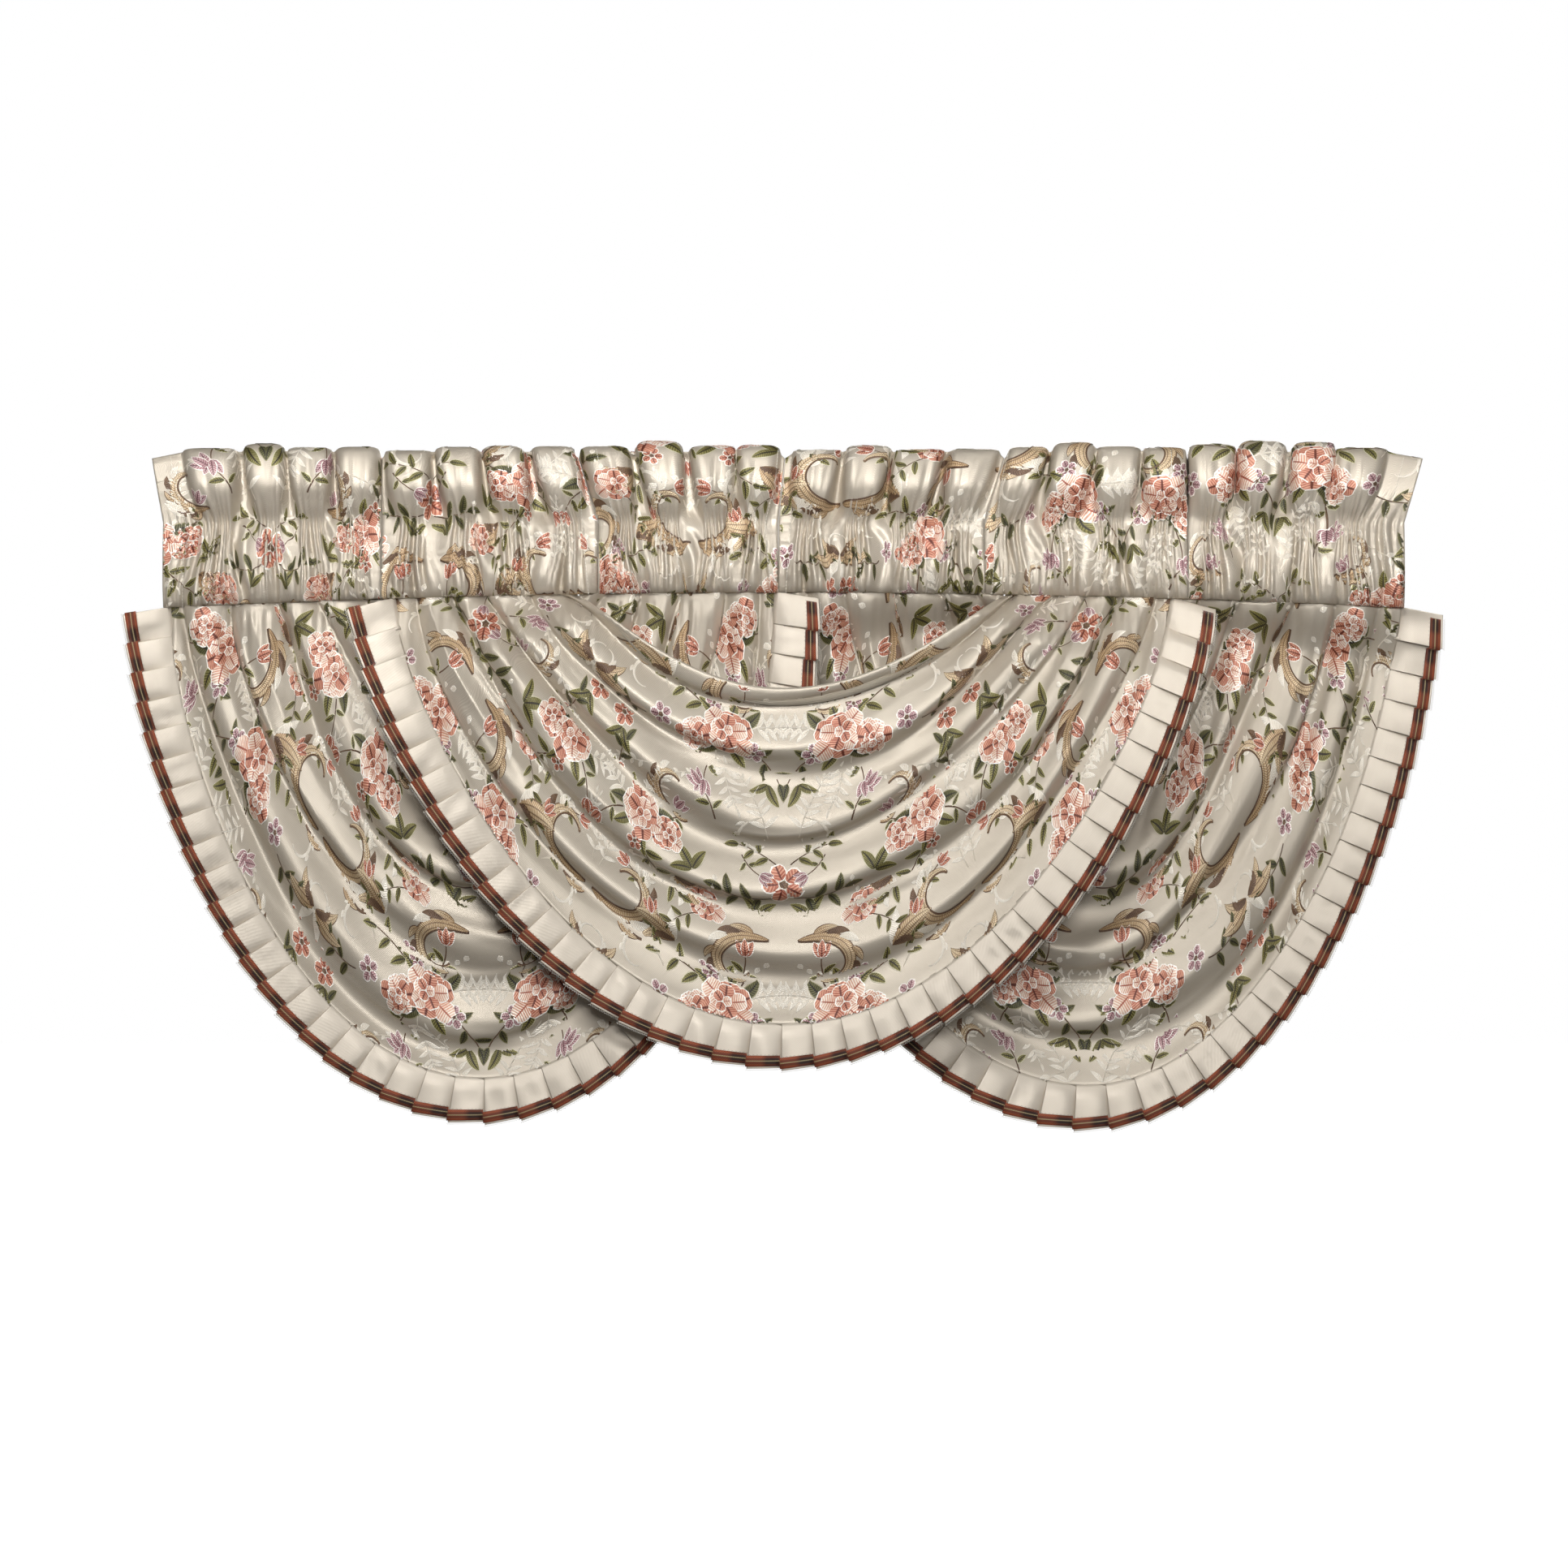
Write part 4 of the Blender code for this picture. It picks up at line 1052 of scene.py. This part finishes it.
def stitchTree(name, zigzag):
    tree = bpy.data.node_groups.new(name, "GeometryNodeTree")
    for label, kind in (("Line", "Geometry"), ("Pitch", "Float"), ("Reach", "Float"), ("Radius", "Float"),
                        ("Thread", "Material")):
        tree.interface.new_socket(label, in_out="INPUT", socket_type="NodeSocket" + kind)
    tree.interface.new_socket("Sewn", in_out="OUTPUT", socket_type="NodeSocketGeometry")

    def add(kind, inputs=(), **settings):
        return addNode(tree, kind, inputs, settings).outputs

    given = add("NodeGroupInput")
    curve = add("GeometryNodeMeshToCurve", {"Mesh": given["Line"]})[0]
    if zigzag:
        points = add("GeometryNodeResampleCurve", {"Curve": curve, "Length": given["Pitch"]}, mode="LENGTH")[0]
        outward = add("GeometryNodeInputNamedAttribute", {"Name": "outward"}, data_type="FLOAT_VECTOR")[0]
        odd = add("ShaderNodeMath", {0: add("GeometryNodeInputIndex")[0], 1: 2.0}, operation="MODULO")[0]
        far = add("ShaderNodeMath", {0: odd, 1: given["Reach"]}, operation="MULTIPLY")[0]
        step = add("ShaderNodeVectorMath", {0: outward, "Scale": far}, operation="SCALE")[0]
        bent = add("GeometryNodeSetPosition", {"Geometry": points, "Offset": step})[0]
        profile = add("GeometryNodeCurvePrimitiveCircle", {"Resolution": 3, "Radius": given["Radius"]})[0]
        made = add("GeometryNodeCurveToMesh", {"Curve": bent, "Profile Curve": profile, "Fill Caps": True})[0]
    else:
        points = add("GeometryNodeCurveToPoints", {"Curve": curve, "Length": given["Pitch"]}, mode="LENGTH")
        dash = add("GeometryNodeMeshCylinder", {"Vertices": 5, "Radius": given["Radius"],
                                                "Depth": given["Reach"]})[0]
        made = add("GeometryNodeInstanceOnPoints", {"Points": points["Points"], "Instance": dash,
                                                    "Rotation": points["Rotation"]})[0]
    real = add("GeometryNodeRealizeInstances", {0: made})[0]
    painted = add("GeometryNodeSetMaterial", {"Geometry": real, "Material": given["Thread"]})[0]
    add("NodeGroupOutput", {"Sewn": painted})
    return tree


zigzagTree, runningTree = stitchTree("zigzagStitch", True), stitchTree("runningStitch", False)


def sewn(name, lines, outwards, tree, thread, sizes):
    # lines: lists of points in mm; outwards: the way each point's stitch steps out
    points = np.concatenate(lines) * mm
    edges, start = [], 0
    for line in lines:
        edges += [(start + k, start + k + 1) for k in range(len(line) - 1)]
        start += len(line)
    mesh = bpy.data.meshes.new(name)
    mesh.from_pydata(points.tolist(), edges, [])
    mesh.attributes.new("outward", "FLOAT_VECTOR", "POINT").data.foreach_set(
        "vector", np.concatenate(outwards).astype(np.float32).ravel())
    obj = placed(name, mesh)
    modifier = obj.modifiers.new("stitches", "NODES")
    modifier.node_group = tree
    for item in tree.interface.items_tree:
        if item.in_out == "INPUT" and item.name in sizes:
            modifier[item.identifier] = sizes[item.name]
        elif item.name == "Thread":
            modifier[item.identifier] = thread
    made = bpy.data.meshes.new_from_object(obj.evaluated_get(bpy.context.evaluated_depsgraph_get()))
    obj.modifiers.remove(modifier)
    obj.data = made
    return obj


for swag in swags:
    found = ruffleMeshes[swag["name"]]
    found["stitches"] = []
    for piece, thread, sizes in (("ribbonPicot_", picotThread, stitches["picot"]),
                                 ("ribbonStitch_", seamThread, stitches["ribbonEdge"])):
        lines, ways = [], []
        for number in range(len(found["pleats"])):
            spots = [ribbonPoint(swag, found, number, sizes["across"], along)
                     for along in np.linspace(-0.02, 0.88, 7)]
            lines.append(np.array([point + normal * sizes["lift"] for point, normal, outward in spots]))
            ways.append(np.array([outward for point, normal, outward in spots]))
        found["stitches"].append(sewn(piece + swag["name"], lines, ways, zigzagTree, thread, sizes))

headHems = {  # how far in from the left edge each row of stitches runs, or with minus from the right one
    "left_outer": (25.0,), "left_inner": (22.0, -10.0), "right_inner": (10.0,), "middle_right": (-22.0, 8.0),
    "right_outer": (-25.0,), "middle_left": (-9.0,),
}
for name, leftTop, leftLow, rightTop, rightLow, puffs in heads:
    found = headMeshes[name]
    points, normals = found["points"], gridNormals(found["points"])
    lines = []
    for inset in headHems[name]:
        edge = leftTop if inset > 0 else rightTop
        column = round((edge + inset - leftTop) / (rightTop - leftTop) * (points.shape[1] - 1))
        front = slice(int(np.argmax(points[:, column, 2])) + 2, len(points) - 2)
        lines.append(points[front, column] + normals[front, column] * stitches["hem"]["lift"])
    found["stitches"] = [sewn("headStitch_" + name, lines, [np.zeros_like(line) for line in lines], runningTree,
                              hemThread, stitches["hem"])]
print("stitches sewn:", sum(len(found["stitches"][0].data.polygons) for found in headMeshes.values()),
      sum(len(piece.data.polygons) for found in ruffleMeshes.values() for piece in found["stitches"]))


# stage, light and camera
lights = {  # place, aim, size, power, spread in degrees
    "keyLight": ((-0.9, -3.7, 2.1), (0.0, 0.0, -0.45), (1.3, 0.7), 78.0, 180.0),
    "frontLight": ((0.35, -5.0, 0.42), (0.0, 0.0, -0.3), (1.3, 0.5), 84.0, 180.0),
    "fillLight": ((3.0, -3.2, 0.2), (0.0, 0.0, -0.5), (2.4, 2.4), 12.0, 180.0),
    "headLight": ((0.0, -1.9, 0.2), (0.0, 0.0, -0.02), (2.2, 0.2), 1.5, 34.0),
    "backLight": ((0.6, 4.2, 0.8), (0.0, 0.0, -0.45), (2.4, 1.6), 110.0, 180.0),
    "topLight": ((0.2, -1.5, 2.3), (0.0, 0.0, -0.4), (2.8, 0.7), 12.0, 180.0),
}
for name, (place, aim, size, power, spread) in lights.items():
    data = bpy.data.lights.new(name, "AREA")
    data.shape = "RECTANGLE"
    data.size, data.size_y = size
    data.energy = power
    data.spread = math.radians(spread)
    light = placed(name, data)
    light.location = place
    direction = (np.array(aim) - np.array(place)) / np.linalg.norm(np.array(aim) - np.array(place))
    light.rotation_mode = "QUATERNION"
    light.rotation_quaternion = Vector(direction).to_track_quat("-Z", "Y")

studio = {"worldLight": 0.09, "floorSize": 9.0, "floorHeight": -1.35, "floorGrey": 0.92}
world = bpy.data.worlds.new("paleStudio")
scene.world = world
world.use_nodes = True
sky = world.node_tree.nodes["Background"]
sky.inputs["Color"].default_value = (1.0, 1.0, 1.0, 1.0)
seen = addNode(world.node_tree, "ShaderNodeLightPath", (), {}).outputs["Is Camera Ray"]
strength = addNode(world.node_tree, "ShaderNodeMapRange", {0: seen, 3: studio["worldLight"], 4: 1.0}, {})
world.node_tree.links.new(strength.outputs[0], sky.inputs["Strength"])

floorMesh = bpy.data.meshes.new("studioFloor")
corners = [(x * studio["floorSize"], y * studio["floorSize"], studio["floorHeight"])
           for x, y in ((-1, -1), (1, -1), (1, 1), (-1, 1))]
floorMesh.from_pydata(corners, [], [(0, 1, 2, 3)])
floor = placed("studioFloor", floorMesh)
desk = nodeDesk("paleFloor")
for key, value in (("Base Color", (*[studio["floorGrey"]] * 3, 1.0)), ("Roughness", 0.9), ("Specular IOR Level", 0.1),
                   ("Emission Color", (1.0, 1.0, 1.0, 1.0)), ("Emission Strength", 1.0)):
    desk.shader.inputs[key].default_value = value
floorMesh.materials.append(desk.material)
floor.visible_diffuse = False  # so that its own glow doesn't light the cloth from below
floor.visible_glossy = False

view = {  # side, middle and topEdge in pixels of the photograph, pixel and sensor in mm, distance in metres
    "side": 1932, "middle": 967, "topEdge": 541, "pixel": 1.1, "distance": 6.0, "sensor": 36.0,
}
cameraData = bpy.data.cameras.new("photoCamera")
camera = placed("photoCamera", cameraData)
pixelWidth = view["pixel"] * mm
cameraData.sensor_width = view["sensor"]
cameraData.lens = view["sensor"] * view["distance"] / (view["side"] * pixelWidth)
camera.location = ((view["side"] / 2 - view["middle"]) * pixelWidth, -view["distance"] - 0.03,
                   (view["topEdge"] - view["side"] / 2) * pixelWidth)
camera.rotation_euler = (math.radians(90.0), 0.0, 0.0)
scene.camera = camera
scene.view_settings.view_transform = "Standard"
scene.view_settings.look = "None"
print("stage set")


# what each piece stands for
def dress(piece, node, withPieces=()):
    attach(piece, "root")
    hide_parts(node)
    for other in withPieces:
        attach(other, "root")


swagFlat = {"left": (1.45, 0.62, 0.62), "middle": (1.40, 0.60, 0.60), "right": (1.45, 0.62, 0.62)}
for swag in swags:
    name = swag["name"]
    width, length, area = swagFlat[name]
    dress(swagMeshes[name]["piece"], "swag_" + name,
          [swagMeshes[name]["flowers"]])
    dress(ruffleMeshes[name]["piece"], "ruffle_" + name)
    dress(ruffleMeshes[name]["ribbon"], "ribbon_" + name,
          ruffleMeshes[name]["stitches"])
for head in heads:
    dress(headMeshes[head[0]]["piece"], "head_" + head[0],
          [headMeshes[head[0]]["flowers"]] + headMeshes[head[0]]["stitches"])
